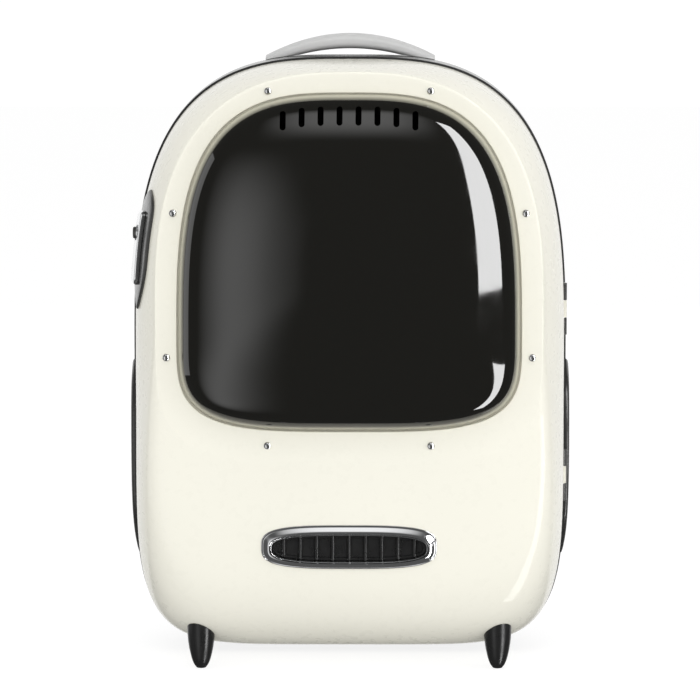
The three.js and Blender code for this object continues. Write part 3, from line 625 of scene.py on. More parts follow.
vent_ledge = ring_body("vent_ledge", [
    vent_ring(1, -clearance, -vent_sleeve + vent_back), vent_ring(1, -clearance, -vent_sleeve + 3 * mm),
    vent_ring(1, -2.1 * mm, -vent_sleeve + 3.2 * mm), vent_ring(1, -2.5 * mm, -vent_sleeve + vent_back)])
for piece in (vent_back_plate, vent_ledge):
    piece.data.materials.append(gloss_black)
for piece in (vent_ribs_piece, vent_back_plate, vent_ledge):
    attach(piece, "door")
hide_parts("vent_grille")


# LATCH
# On the door's left edge: a dark boat-shaped plate, a plated bar along it, and a push button that
# stands in a ribbed plated collar.
latch_above = 29.7 * mm
latch_below = 53.3 * mm
latch_half_width = 20 * mm
latch_top_power = 7.0
plate_rise = 2 * mm
bar_above = 14.7 * mm
bar_below = 36.3 * mm
bar_half_width = 8 * mm
bar_rise = 5.2 * mm
button_radius = 4.1 * mm
button_head = 2.6 * mm
collar_wall = 0.7 * mm


def boat(y, bottom, top, half_width, inset=0.0, top_power=2.6, count=120):
    """A plan that is full in the middle and pointed at both ends, as Y and Z."""
    around = np.linspace(0, 2 * math.pi, count, endpoint=False)
    share = np.sin(around)
    half = (top - bottom) / 2 - 2 * inset
    fullness = np.where(share > 0, top_power, 2.6)
    side = np.sign(np.cos(around)) * (half_width - inset) * (1 - np.abs(share) ** fullness)
    return np.stack([y + side, (top + bottom) / 2 + half * share], axis=-1)


def oval(y, z, half_width, half_length, power, count=120):
    around = np.linspace(0, 2 * math.pi, count, endpoint=False)
    across, up = np.cos(around), np.sin(around)
    scale = (np.abs(across) ** power + np.abs(up) ** power) ** (-1 / power)
    return np.stack([y + half_width * across * scale, z + half_length * up * scale], axis=-1)


def on_side(tree, plan, side, rise):
    """Lays Y and Z points on a shell's left (-1) or right (1) side, a little above it."""
    points = []
    for y, z in plan:
        place, normal, _, _ = tree.ray_cast(Vector((side * 0.4, y, z)), Vector((-side, 0, 0)))
        normal = normal if normal.x * side > 0 else -normal
        points.append(place + normal * rise)
    return np.array(points)


def side_layer(name, tree, side, plans, closed, crease=35):
    """A moulding that lies on a shell's side, from (plan, rise) rows."""
    return ring_body(name, [on_side(tree, plan, side, rise) for plan, rise in plans], closed, crease)


def latch_boat(inset=0.0):
    return boat(latch_y, button_height - latch_below, button_height + latch_above, latch_half_width, inset,
                latch_top_power)


def latch_oval(inset=0.0):
    return oval(latch_y, button_height + (bar_above - bar_below) / 2, bar_half_width - inset,
                (bar_above + bar_below) / 2 - inset, 5)


latch_plate = side_layer("latch_plate_boat", front_tree, -1, [
    (latch_boat(), clearance), (latch_boat(), plate_rise * 0.55), (latch_boat(0.35 * mm), plate_rise * 0.85),
    (latch_boat(0.9 * mm), plate_rise), (latch_boat(4 * mm), plate_rise), (latch_boat(10 * mm), plate_rise)],
    closed=False)
latch_bar = side_layer("latch_bar_long", front_tree, -1, [
    (latch_oval(), plate_rise + clearance), (latch_oval(), bar_rise * 0.72),
    (latch_oval(0.7 * mm), bar_rise * 0.9), (latch_oval(2 * mm), bar_rise), (latch_oval(4.5 * mm), bar_rise)],
    closed=False)
collar_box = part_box("latch_collar")
bore = button_radius + collar_wall + 2 * clearance
cut(latch_bar, [rod("bar_room", bore, (button_x - 5 * mm, latch_y, button_height),
                    (button_x + stem_reach, latch_y, button_height), 64)])
cut(latch_plate, [rod("plate_room", stem_bore, (button_x - 5 * mm, latch_y, button_height),
                      (button_x + stem_reach, latch_y, button_height))])


def turned_on_x(name, profile, sides=64, closed=False, crease=35):
    """A body turned about the button's axis, from (x, radius) rows."""
    around = np.linspace(0, 2 * math.pi, sides, endpoint=False)
    rings = [np.stack([np.full(sides, x), latch_y + r * np.cos(around), button_height + r * np.sin(around)],
                      axis=-1) for x, r in profile]
    return ring_body(name, rings, closed, crease)


collar_inner = button_radius + clearance
collar_outer = collar_inner + collar_wall
collar_tip = collar_box[0][0]
collar_foot = collar_box[1][0]
latch_collar = turned_on_x("latch_collar_ring", [
    (collar_foot, collar_inner), (collar_tip + 0.2 * mm, collar_inner), (collar_tip, collar_inner + 0.2 * mm),
    (collar_tip, collar_outer - 0.2 * mm), (collar_tip + 0.2 * mm, collar_outer - 0.1 * mm),
    (collar_foot, collar_outer - 0.1 * mm)], closed=True)
rib_count = 28
around = np.linspace(0, 2 * math.pi, rib_count, endpoint=False)
collar_length = (collar_foot - collar_tip) / 2
collar_spots = np.stack([np.full(rib_count, collar_tip + collar_length + 0.1 * mm),
                         latch_y + (collar_outer - 0.05 * mm) * np.cos(around),
                         button_height + (collar_outer - 0.05 * mm) * np.sin(around)], axis=-1)
collar_ribs = grown("latch_collar_ribs", marked_points(
    "collar_spots", collar_spots, size=np.tile((0.28 * mm, 0.28 * mm, collar_length - 0.35 * mm),
                                               (rib_count, 1)),
    turn=np.tile((0, math.pi / 2, 0), (rib_count, 1))), bar_tree, {"Sides": 8, "Ends": 1}, bright_chrome)
latch_button = turned_on_x("latch_button_knob", [
    (button_x + 14 * mm, 1.8 * mm), (button_x + button_head, 1.8 * mm),
    (button_x + button_head, button_radius - 0.3 * mm), (button_x + button_head - 0.3 * mm, button_radius),
    (button_x + 0.9 * mm, button_radius), (button_x + 0.35 * mm, button_radius - 0.3 * mm),
    (button_x + 0.08 * mm, button_radius - 0.9 * mm), (button_x, button_radius - 1.8 * mm),
    (button_x + 0.15 * mm, button_radius * 0.25)])

satin_graphite, nodes, links, shader = finish_of(
    "satin_graphite", Base_Color=(0.035, 0.035, 0.033), Roughness=0.28, Specular_IOR_Level=0.5,
    Coat_Weight=0.4, Coat_Roughness=0.12)
spread_to(nodes, links, mottle(nodes, links, 18, 3), shader.inputs["Base Color"],
          (0.032, 0.032, 0.030), (0.042, 0.042, 0.040))
spread_to(nodes, links, mottle(nodes, links, 140, 3), shader.inputs["Roughness"], 0.24, 0.33)
raise_by(nodes, links, shader, mottle(nodes, links, 800, 2), 0.00003, 0.5)

for piece, body, finish, slot_name, node in (
        (latch_plate, "door", satin_graphite, "graphite_trim", "latch_plate"),
        (latch_bar, "door", bright_chrome, "chrome_trim", "latch_bar"),
        (latch_collar, "door", bright_chrome, "chrome_trim", "latch_collar"),
        (collar_ribs, "door", None, "chrome_trim", None),
        (latch_button, "latch_button", satin_graphite, "graphite_trim", "latch_button")):
    if finish is not None:
        piece.data.materials.append(finish)
    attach(piece, body)
    if node is not None:
        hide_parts(node)


# REAR SHELL
# The deep half of the body: one moulding in satin graphite ABS, rounded into a flat back. It carries
# everything that the wearer and the hand hold.
gasket_thickness = 2.2 * mm
rear_start = seam_y + gasket_thickness + 2 * clearance
rear_depth = 112 * mm
rear_rounding = 48 * mm
rim_proud = 0.9 * mm
rear_sections = [(0, 0), (-0.012, 0.22), (0.012, 0.45), (0.088, 0.65), (0.23, 0.8), (0.44, 0.905),
                 (0.69, 0.97), (1, 1)]


def rear_ring(inset, depth):
    point = outline_ring(seam_outline, turns, rim_proud - rear_rounding * inset)
    return np.stack([point[:, 0], np.full(ring_steps, rear_start + rear_depth * depth), point[:, 1]], axis=-1)


rear_inside = np.array((0, rear_start + rear_depth / 3, shell_middle_z))
rear_outer = [rear_ring(*row) for row in smooth_rows(rear_sections, (6, 6, 6, 6, 6, 6, 6))]
rear_inner = offset_rings(rear_outer[::3], -shell_wall, rear_inside, {0: "flat"})
rear_shell = ring_body("graphite_rear_shell", rear_outer[::-1] + rear_inner, closed=False)
rear_tree = BVHTree.FromObject(rear_shell, bpy.context.evaluated_depsgraph_get())

side_vent_top = 205 * mm
side_vent_bottom = 65 * mm
side_vent_y = rear_start + 36 * mm
side_vent_z = (side_vent_top + side_vent_bottom) / 2
side_half_width = 25 * mm
side_half_length = 49 * mm
side_band = 5 * mm
side_power = 2.6
side_cut_span = (0.11, 0.2)


def side_oval(inset):
    return oval(side_vent_y, side_vent_z, side_half_width - inset, side_half_length - inset, side_power)


holes = []
for side in (-1, 1):
    plan = side_oval(2 * side_band)
    holes.append(ring_body("side_hole", [
        np.column_stack([np.full(len(plan), side * x), plan]) for x in side_cut_span], closed=False))
cut(rear_shell, holes)
webs = []
for middle in hinge_heights:
    for side in (-1, 1):
        ends = sorted((middle + side * (knuckle_length / 2 + clearance),
                       middle + side * (knuckle_length * 1.5 + clearance)))
        webs.append(rod("rear_knuckle", knuckle_radius, (hinge_x, seam_y, ends[0]),
                        (hinge_x, seam_y, ends[1])))
        corners = [(hinge_x - shell_wall, seam_y + clearance), (hinge_x + 0.4 * mm, seam_y + clearance),
                   (hinge_x + 0.4 * mm, seam_y + 6 * mm), (hinge_x - shell_wall, seam_y + 6 * mm)]
        webs.append(ring_body("knuckle_web", [np.array([(x, y, z) for x, y in corners]) for z in ends],
                              closed=False))
cut(rear_shell, webs, "UNION")
cut(rear_shell, pin_holes())
rear_shell.data.materials.append(satin_graphite)
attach(rear_shell, "carrier")
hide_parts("rear_shell")


# SEAM GASKET AND HINGE PINS
# A black rubber strip seals the door all round; it stops short of the two hinges. Each hinge turns on a
# plain steel pin, which stays as the frame holds it.
gasket_proud = 1.4 * mm
gasket_width = 7 * mm


def gasket_ring(grow, y):
    point = outline_ring(seam_outline, turns, grow)
    return np.stack([point[:, 0], np.full(ring_steps, y), point[:, 1]], axis=-1)


gasket_front = seam_y + clearance
gasket_back = gasket_front + gasket_thickness
seam_gasket = ring_body("seam_gasket_strip", [
    gasket_ring(gasket_proud - 0.5 * mm, gasket_front), gasket_ring(gasket_proud, gasket_front + 0.5 * mm),
    gasket_ring(gasket_proud, gasket_back - 0.5 * mm), gasket_ring(gasket_proud - 0.5 * mm, gasket_back),
    gasket_ring(gasket_proud - gasket_width, gasket_back),
    gasket_ring(gasket_proud - gasket_width, gasket_front)], crease=60)
notches = []
for middle in hinge_heights:
    half = knuckle_length * 1.5 + 2 * clearance
    corners = [(hinge_x - shell_wall - clearance, seam_y - 2 * mm), (hinge_x + gasket_width, seam_y - 2 * mm),
               (hinge_x + gasket_width, seam_y + 5 * mm), (hinge_x - shell_wall - clearance, seam_y + 5 * mm)]
    notches.append(ring_body("hinge_notch", [np.array([(x, y, z) for x, y in corners])
                                             for z in (middle - half, middle + half)], closed=False))
cut(seam_gasket, notches)
seal_rubber, nodes, links, shader = finish_of(
    "seal_rubber", Base_Color=(0.018, 0.018, 0.018), Roughness=0.55, Specular_IOR_Level=0.35)
spread_to(nodes, links, mottle(nodes, links, 60, 4), shader.inputs["Roughness"], 0.48, 0.66)
raise_by(nodes, links, shader, mottle(nodes, links, 1200, 2), 0.00004, 0.6)
seam_gasket.data.materials.append(seal_rubber)
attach(seam_gasket, "carrier")
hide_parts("seam_gasket")
for name in ("hinge_pin_lower", "hinge_pin_upper"):
    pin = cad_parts[name]
    pin.data.materials.clear()
    pin.data.materials.append(bright_chrome)


# HANDLE
# A low carrying strap of soft light grey plastic, arched over the top of the rear shell and moulded to it
# at both ends.
handle_half_span = 60 * mm
handle_rise = 15.8 * mm
handle_gap = 4.6 * mm
handle_half_width = 14 * mm
handle_y = rear_start + 44 * mm
handle_seat = seam_outline["top"] + rim_proud
handle_clear_share = 0.6
handle_sides = 64


def shell_block(name, rings, inside):
    """A solid block in the shape of a shell's outside, grown by the gap that its neighbours keep."""
    return ring_body(name, offset_rings(rings, clearance, inside), closed=False)


handle_rings = []
for share in np.linspace(-1, 1, 97):
    top = handle_seat + handle_rise * (1 - share ** 2) - 1 * mm
    under = handle_seat + handle_gap * (1 - (share / handle_clear_share) ** 2) - 0.4 * mm
    low = min(under, top - 2.4 * mm)
    section = oval(handle_y, (top + low) / 2, handle_half_width, (top - low) / 2, 3.2, handle_sides)
    handle_rings.append(np.column_stack([np.full(handle_sides, handle_half_span * share), section]))
handle = ring_body("grey_handle_strap", handle_rings, closed=False, crease=50)
cut(handle, [shell_block("rear_block", rear_outer, rear_inside)], crease=50)
soft_grey, nodes, links, shader = finish_of(
    "soft_grey", Base_Color=(0.58, 0.58, 0.575), Roughness=0.42, Specular_IOR_Level=0.4)
spread_to(nodes, links, mottle(nodes, links, 30, 3), shader.inputs["Base Color"],
          (0.57, 0.57, 0.565), (0.61, 0.61, 0.605))
spread_to(nodes, links, mottle(nodes, links, 200, 3), shader.inputs["Roughness"], 0.38, 0.48)
raise_by(nodes, links, shader, mottle(nodes, links, 1500, 3), 0.00005, 0.7)
handle.data.materials.append(soft_grey)
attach(handle, "carrier")
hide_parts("handle")


# FEET
# Four gloss black bullets, pressed up against the round bottom corners: two under the door and two under
# the rear shell.
foot_x = shell_half_width - 47.5 * mm
front_foot_y = seam_y - 66 * mm
rear_foot_y = rear_start + 76 * mm
foot_sides = 56
foot_profile = np.array([(2.2, 0), (3.1, 0.25), (3.84, 1.1), (5.28, 3.2), (7.0, 8), (8.83, 17),
                         (9.6, 27), (9.6, 44)]) * mm
foot_rows = smooth_rows(foot_profile, (2, 3, 4, 5, 6, 6, 3))
for name, side, y, body, rings, inside in (
        ("foot_front_left", -1, front_foot_y, "door", front_skin, front_inside),
        ("foot_front_right", 1, front_foot_y, "door", front_skin, front_inside),
        ("foot_rear_left", -1, rear_foot_y, "carrier", rear_outer, rear_inside),
        ("foot_rear_right", 1, rear_foot_y, "carrier", rear_outer, rear_inside)):
    around = np.linspace(0, 2 * math.pi, foot_sides, endpoint=False)
    foot = ring_body("bullet_" + name, [
        np.stack([side * foot_x + radius * np.cos(around), y + radius * np.sin(around),
                  np.full(foot_sides, height)], axis=-1) for radius, height in foot_rows], closed=False)
    cut(foot, [shell_block("shell_block", rings, inside)])
    foot.data.materials.append(gloss_black)
    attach(foot, body)
    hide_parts(name)


# SIDE VENTS
# On each side of the rear shell: a dark boat-shaped panel, a plated oval ring over its middle, and a
# black grille with nine level gaps behind the ring.
louvre_count = 9
louvre_gap = 3.2 * mm
louvre_rim = 3 * mm
louvre_steps = 32
panel_half_width = 28 * mm
panel_power = 4.0
panel_rise = 3.4 * mm
panel_foot = 1.9 * mm
louvre_pitch = 2 * (side_half_length - side_band) / (louvre_count + 1)
for side, end in ((-1, "left"), (1, "right")):
    plan, slim, slimmer = (boat(side_vent_y, side_vent_bottom, side_vent_top, panel_half_width, inset,
                                panel_power) for inset in (0, 0.5 * mm, 1.4 * mm))
    panel = side_layer("side_panel_boat_" + end, rear_tree, side, [
        (plan, clearance), (plan, panel_foot), (slim, 2.9 * mm), (slimmer, panel_rise),
        (side_oval(clearance), panel_rise), (side_oval(clearance), panel_foot),
        (side_oval(side_band), panel_foot), (side_oval(side_band), clearance)], closed=True)
    ring = side_layer("side_ring_oval_" + end, rear_tree, side, [
        (side_oval(0), 2.2 * mm), (side_oval(0), 2.8 * mm), (side_oval(0.5 * mm), 3.4 * mm),
        (side_oval(1.6 * mm), 3.75 * mm), (side_oval(3.2 * mm), 3.6 * mm), (side_oval(4.5 * mm), 3.1 * mm),
        (side_oval(side_band), 2.6 * mm), (side_oval(side_band), 2.2 * mm)], closed=True, crease=50)
    mouth = side_oval(side_band + clearance)
    grille = side_layer("side_grille_" + end + "_louvres", rear_tree, side, [
        (mouth, clearance), (mouth, 1.5 * mm), (side_oval(side_band + 0.7 * mm), 1.9 * mm),
        (side_oval(side_band + 6 * mm), 1.9 * mm), (side_oval(side_band + 12 * mm), 1.9 * mm)], closed=False)
    gaps = []
    for index in range(louvre_count):
        rise = (index - (louvre_count - 1) / 2) * louvre_pitch
        half = ((side_half_width - side_band)
                * (1 - (abs(rise) / (side_half_length - side_band)) ** side_power) ** (1 / side_power)
                - louvre_rim)
        slot_plan = oval(side_vent_y, side_vent_z + rise, half, louvre_gap / 2, 6, louvre_steps)
        gaps.append(ring_body("louvre_gap", [
            np.column_stack([np.full(louvre_steps, side * x), slot_plan]) for x in side_cut_span],
            closed=False))
    cut(grille, gaps)
    for piece, finish, slot_name, node in (
            (panel, satin_graphite, "graphite_trim", "side_panel_"),
            (ring, bright_chrome, "chrome_trim", "side_ring_"),
            (grille, gloss_black, "black_plastic", "side_grille_")):
        piece.data.materials.append(finish)
        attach(piece, "carrier")
        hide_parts(node + end)


# BACK PAD
# A soft foam pad under dark spacer mesh, glued to the flat back of the rear shell. Its edge is bound with
# piping, and two level seams quilt it into three cushions.
pad_start = seam_y + 115.1 * mm
pad_thickness = 14 * mm
pad_outline = outline(104, 372, 62, 0.5, 3.6, 4.4)
pad_steps = 160
pad_turns = np.linspace(0, 2 * math.pi, pad_steps, endpoint=False)
pad_seams = (155 * mm, 262 * mm)


def pad_ring(inset, share):
    point = outline_ring(pad_outline, pad_turns, -inset)
    return np.stack([point[:, 0], np.full(pad_steps, pad_start + pad_thickness * share), point[:, 1]],
                    axis=-1)


def vertices_of(piece):
    points = np.empty(len(piece.data.vertices) * 3)
    piece.data.vertices.foreach_get("co", points)
    return points.reshape(-1, 3)


def put_back(piece, points):
    piece.data.vertices.foreach_set("co", points.ravel())
    piece.data.update()


cloth_frames = 20


def stuffed(piece, voxel, cap, held):
    """Swells a piece with a cloth simulation under pressure. held(points) is 1 where it can't move."""
    step = piece.modifiers.new("remesh", "REMESH")
    step.mode = "VOXEL"
    step.voxel_size = voxel
    step = piece.modifiers.new("even", "SMOOTH")
    step.factor = 0.5
    step.iterations = 6
    baked(piece)
    before = vertices_of(piece)
    group = piece.vertex_groups.new(name="held")
    for index, weight in enumerate(held(before)):
        group.add([index], float(weight), "REPLACE")
    cloth = piece.modifiers.new("cloth", "CLOTH")
    cloth.settings.quality = 5
    cloth.settings.mass = 0.15
    cloth.settings.tension_stiffness = 12
    cloth.settings.bending_stiffness = 0.4
    cloth.settings.use_pressure = True
    cloth.settings.uniform_pressure_force = 4
    cloth.settings.vertex_group_mass = "held"
    cloth.settings.effector_weights.gravity = 0
    cloth.collision_settings.use_collision = False
    cloth.point_cache.frame_start = 1
    cloth.point_cache.frame_end = cloth_frames
    for moment in range(1, cloth_frames + 1):
        bpy.context.scene.frame_set(moment)
    baked(piece)
    bpy.context.scene.frame_set(1)
    move = vertices_of(piece) - before
    length = np.linalg.norm(move, axis=1, keepdims=True)
    put_back(piece, before + move * np.minimum(1, cap / np.maximum(length, 1e-9)))
    step = piece.modifiers.new("finer", "SUBSURF")
    step.levels = step.render_levels = 1
    baked(piece, 60)


def groove(distance, width, depth):
    """How deep a sewn channel is at a distance from its seam."""
    return depth * np.exp(-(distance / width) ** 2)


back_pad = ring_body("mesh_back_pad", [pad_ring(inset * mm, share) for inset, share in (
    (4.5, 0.0), (2.5, 0.1), (1.5, 0.3), (1.5, 0.55), (4, 0.76), (9, 0.86), (20, 0.9), (45, 0.9))],
    closed=False)
stuffed(back_pad, 4.5 * mm, 6 * mm, lambda p: np.clip((pad_start + 3 * mm - p[:, 1]) / mm, 0, 1))
points = vertices_of(back_pad)
height = points[:, 1] - pad_start
front_share = np.clip(height / pad_thickness, 0, 1) ** 2
for level in pad_seams:
    points[:, 1] -= groove(points[:, 2] - level, 3.2 * mm, 3.6 * mm) * front_share
points[:, 1] = np.clip(points[:, 1], pad_start, pad_start + pad_thickness)
put_back(back_pad, points)

piping_sides = 12
piping_radius = 1.7 * mm
piping_inset = 1.9 * mm
piping_rise = 2.4 * mm
pipe_rings = []
for angle in np.linspace(0, 2 * math.pi, piping_sides, endpoint=False):
    point = outline_ring(pad_outline, pad_turns, -piping_inset + piping_radius * math.cos(angle))
    depth = pad_start + piping_rise + piping_radius * math.sin(angle)
    pipe_rings.append(np.stack([point[:, 0], np.full(pad_steps, depth), point[:, 1]], axis=-1))
pad_piping = ring_body("pad_piping", pipe_rings, crease=180)

stitch_sizes = {"Pitch": 4.5 * mm, "Length": 2.8 * mm, "Thread": 0.35 * mm}
stitch_tree, start, add, close = node_tree("stitches", stitch_sizes)
line = add("GeometryNodeMeshToCurve", {"Mesh": start.outputs["Geometry"]})
spread = add("GeometryNodeCurveToPoints", {"Curve": line.outputs[0], "Length": start.outputs["Pitch"]},
             mode="LENGTH")
thread = add("GeometryNodeMeshCylinder", {"Vertices": 6, "Side Segments": 3, "Fill Segments": 1,
                                          "Radius": start.outputs["Thread"],
                                          "Depth": start.outputs["Length"]})
along = add("FunctionNodeAlignRotationToVector", {"Vector": spread.outputs["Tangent"]}, axis="Z")
spots = add("GeometryNodeInstanceOnPoints", {"Points": spread.outputs["Points"],
                                             "Instance": thread.outputs["Mesh"],
                                             "Rotation": along.outputs[0]})
close(spots.outputs[0])


def thread_lines(name, lines):
    """A mesh of open or closed lines, each a row of points."""
    points, edges = [], []
    for row, is_loop in lines:
        first = len(points)
        points += [tuple(map(float, point)) for point in row]
        edges += [(first + i, first + i + 1) for i in range(len(row) - 1)]
        if is_loop:
            edges.append((len(points) - 1, first))
    mesh = bpy.data.meshes.new(name)
    mesh.from_pydata(points, edges, [])
    return mesh


def skin_of(piece):
    return BVHTree.FromObject(piece, bpy.context.evaluated_depsgraph_get())


def laid_on(tree, flat_points, rise):
    """X and Z points laid on the outside of a pad or strap."""
    laid = []
    for x, z in flat_points:
        place, normal, _, _ = tree.ray_cast(Vector((x, 0.3, z)), Vector((0, -1, 0)))
        if place is not None:
            laid.append(place + normal * rise)
    return laid


pad_tree = skin_of(back_pad)
seam_lines = []
for level in pad_seams:
    reach = pad_outline["half_width"] - 9 * mm
    across = np.linspace(-reach, reach, 240)
    seam_lines.append((laid_on(pad_tree, [(x, level) for x in across], 0.15 * mm), False))
border = outline_ring(pad_outline, pad_turns, -10 * mm)
seam_lines.append((laid_on(pad_tree, border, 0.1 * mm), True))

mesh_cloth, nodes, links, shader = finish_of(
    "spacer_mesh", Base_Color=(0.02, 0.02, 0.022), Roughness=0.85, Specular_IOR_Level=0.2,
    Sheen_Weight=0.25, Sheen_Roughness=0.4)
# Voronoi cells draw the mesh's open knit and sink its holes by bump; the holes' darker middles are painted
# shade.
place = nodes.new("ShaderNodeTexCoord")
cells = nodes.new("ShaderNodeTexVoronoi")
cells.inputs["Scale"].default_value = 420
cells.inputs["Randomness"].default_value = 0.15
links.new(place.outputs["Object"], cells.inputs["Vector"])
ramp = nodes.new("ShaderNodeValToRGB")
ramp.color_ramp.elements[0].position = 0.12
ramp.color_ramp.elements[0].color = (0.006, 0.006, 0.007, 1)
ramp.color_ramp.elements[1].position = 0.42
ramp.color_ramp.elements[1].color = (0.034, 0.034, 0.037, 1)
links.new(cells.outputs["Distance"], ramp.inputs["Fac"])
links.new(ramp.outputs["Color"], shader.inputs["Base Color"])
wear = raise_by(nodes, links, shader, mottle(nodes, links, 35, 3), 0.0004, 0.4)
raise_by(nodes, links, shader, cells, 0.0007, 0.9, wear)

plain_cloth, nodes, links, shader = finish_of(
    "binding_cloth", Base_Color=(0.03, 0.03, 0.032), Roughness=0.7, Specular_IOR_Level=0.25,
    Sheen_Weight=0.3, Sheen_Roughness=0.35)
place = nodes.new("ShaderNodeTexCoord")
weave = nodes.new("ShaderNodeTexWave")
weave.inputs["Scale"].default_value = 320
weave.inputs["Distortion"].default_value = 1.5
links.new(place.outputs["Object"], weave.inputs["Vector"])
raise_by(nodes, links, shader, weave, 0.00025, 0.6)
spread_to(nodes, links, mottle(nodes, links, 90, 3), shader.inputs["Base Color"],
          (0.024, 0.024, 0.026), (0.038, 0.038, 0.040))

back_pad.data.materials.append(mesh_cloth)
pad_piping.data.materials.append(plain_cloth)
pad_stitches = grown("pad_stitches", thread_lines("pad_seam_lines", seam_lines), stitch_tree,
                     stitch_sizes, plain_cloth, 60)
for piece in (back_pad, pad_piping, pad_stitches):
    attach(piece, "carrier")
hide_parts("back_pad")


# SHOULDER STRAPS
# Each side has a curved padded strap of the same mesh, bound at its edges, a plastic ladder buckle below
# it, a run of webbing and a moulded anchor at the pad's foot.
pad_face = seam_y + 129.1 * mm
strap_half_width = 28 * mm
strap_thickness = 10 * mm
strap_arch = 17 * mm
strap_top = 356 * mm
strap_end = 168 * mm
strap_top_x = 44 * mm
strap_end_x = 84 * mm
strap_rest = pad_face + clearance + strap_thickness / 2
strap_sides = 48
strap_hem = 6 * mm
buckle_half_height = 11 * mm
anchor_half_height = 9 * mm
anchor_x = 92 * mm
anchor_z = 76 * mm
buckle_x = strap_end_x + 0.2 * (anchor_x - strap_end_x)
buckle_z = strap_end - clearance - buckle_half_height
web_half_width = 12.5 * mm
web_thickness = 2 * mm


def strap_line(share):
    """The middle of the right strap at a share of its length: x, y and z."""
    turn = share * share * (3 - 2 * share)
    return (strap_top_x + (strap_end_x - strap_top_x) * turn,
            strap_rest + strap_arch * math.sin(math.pi * share) ** 2,
            strap_top + (strap_end - strap_top) * share)


def strap_section(share, half_width, half_thickness, power=2.6):
    x, y, z = strap_line(share)
    around = np.linspace(0, 2 * math.pi, strap_sides, endpoint=False)
    across, out = np.cos(around), np.sin(around)
    scale = (np.abs(across) ** power + np.abs(out) ** power) ** (-1 / power)
    return np.stack([x + half_width * across * scale, y + half_thickness * out * scale,
                     np.full(strap_sides, z)], axis=-1)


def strap_offset(points):
    """Where points lie on the right strap: share of its length, across and out from its middle."""
    share = np.clip((strap_top - points[:, 2]) / (strap_top - strap_end), 0, 1)
    turn = share * share * (3 - 2 * share)
    across = points[:, 0] - (strap_top_x + (strap_end_x - strap_top_x) * turn)
    out = points[:, 1] - (strap_rest + strap_arch * np.sin(math.pi * share) ** 2)
    return share, across, out


strap = ring_body("strap_blank", [
    strap_section(share, strap_half_width - 1.5 * mm, strap_thickness / 2 - 1 * mm)
    for share in np.linspace(0.012, 0.988, 60)], closed=False)


def strap_held(points):
    share, across, _ = strap_offset(points)
    ends = np.clip(1 - np.minimum(share, 1 - share) / 0.05, 0, 1)
    edges = np.clip((np.abs(across) - strap_half_width + 5 * mm) / (3 * mm), 0, 1)
    return np.maximum(ends, edges)


stuffed(strap, 4 * mm, 5 * mm, strap_held)
points = vertices_of(strap)
share, across, out = strap_offset(points)
edge = strap_half_width - np.abs(across)
pinch = 1 - 0.45 * np.exp(-((edge - strap_hem) / (2.2 * mm)) ** 2)
limit = strap_thickness / 2 * np.where(edge < strap_hem, 0.62, 1)
points[:, 1] += np.clip(out * pinch, -limit, limit) - out
put_back(strap, points)
strap_tree = skin_of(strap)
binding = []
binding_sides = 12
turn = np.linspace(0, 2 * math.pi, binding_sides, endpoint=False)
for edge_side in (-1, 1):
    rings = []
    for x, y, z in (strap_line(share) for share in np.linspace(0.0, 1.0, 72)):
        rings.append(np.stack([x + edge_side * (strap_half_width - 1.6 * mm) + 1.5 * mm * np.cos(turn),
                               y + 2.6 * mm * np.sin(turn), np.full(binding_sides, z)], axis=-1))
    binding.append(ring_body("strap_binding", rings, closed=False, crease=60))
strap_middle = [strap_line(share) for share in np.linspace(0.02, 0.98, 300)]
strap_seams = [[(x + edge_side * (strap_half_width - strap_hem), z) for x, _, z in strap_middle]
               for edge_side in (-1, 1)]
strap_stitches = grown(
    "strap_stitches",
    thread_lines("strap_seam_lines", [(laid_on(strap_tree, row, 0.1 * mm), False) for row in strap_seams]),
    stitch_tree, stitch_sizes, plain_cloth, 60)


def plate_with_slot(name, half_width, half_height, slot_width, slot_height, thickness, bars):
    """A rounded plate with one or two level slots, lying in X and Z with its back at Y 0."""
    outer = oval(0, 0, half_width, half_height, 7, 64)
    plate = ring_body(name, [
        np.column_stack([outer[:, 0] * k, np.full(len(outer), y), outer[:, 1] * k])
        for k, y in ((0.96, 0), (1, 0.6 * mm), (1, thickness - 0.8 * mm), (0.965, thickness))], closed=False)
    holes = []
    for middle in bars:
        hole = oval(0, middle, slot_width, slot_height, 6, 32)
        holes.append(ring_body("slot", [np.column_stack([hole[:, 0], np.full(len(hole), y), hole[:, 1]])
                                        for y in (-1 * mm, thickness + 1 * mm)], closed=False))
    return cut(plate, holes)


buckle = plate_with_slot("buckle", 17 * mm, buckle_half_height, 13.5 * mm, 5.5 * mm, 5 * mm, (0,))
put_back(buckle, vertices_of(buckle) + (buckle_x, pad_face + clearance, buckle_z))
anchor = plate_with_slot("anchor", web_half_width + 2 * mm, anchor_half_height, web_half_width * 0.9,
                         1.2 * mm, 4 * mm, (3.5 * mm,))
put_back(anchor, vertices_of(anchor) + (anchor_x, pad_face + clearance, anchor_z))
web_top = buckle_z - buckle_half_height - clearance
web_end = anchor_z + anchor_half_height + clearance
web_rings = []
for share in np.linspace(0, 1, 40):
    section = oval(0, 0, web_half_width, web_thickness / 2, 8, strap_sides)
    web_rings.append(np.column_stack([
        buckle_x + (anchor_x - buckle_x) * share + section[:, 0],
        pad_face + clearance + web_thickness / 2 + section[:, 1],
        np.full(strap_sides, web_top + (web_end - web_top) * share)]))
web = ring_body("webbing", web_rings, closed=False, crease=50)

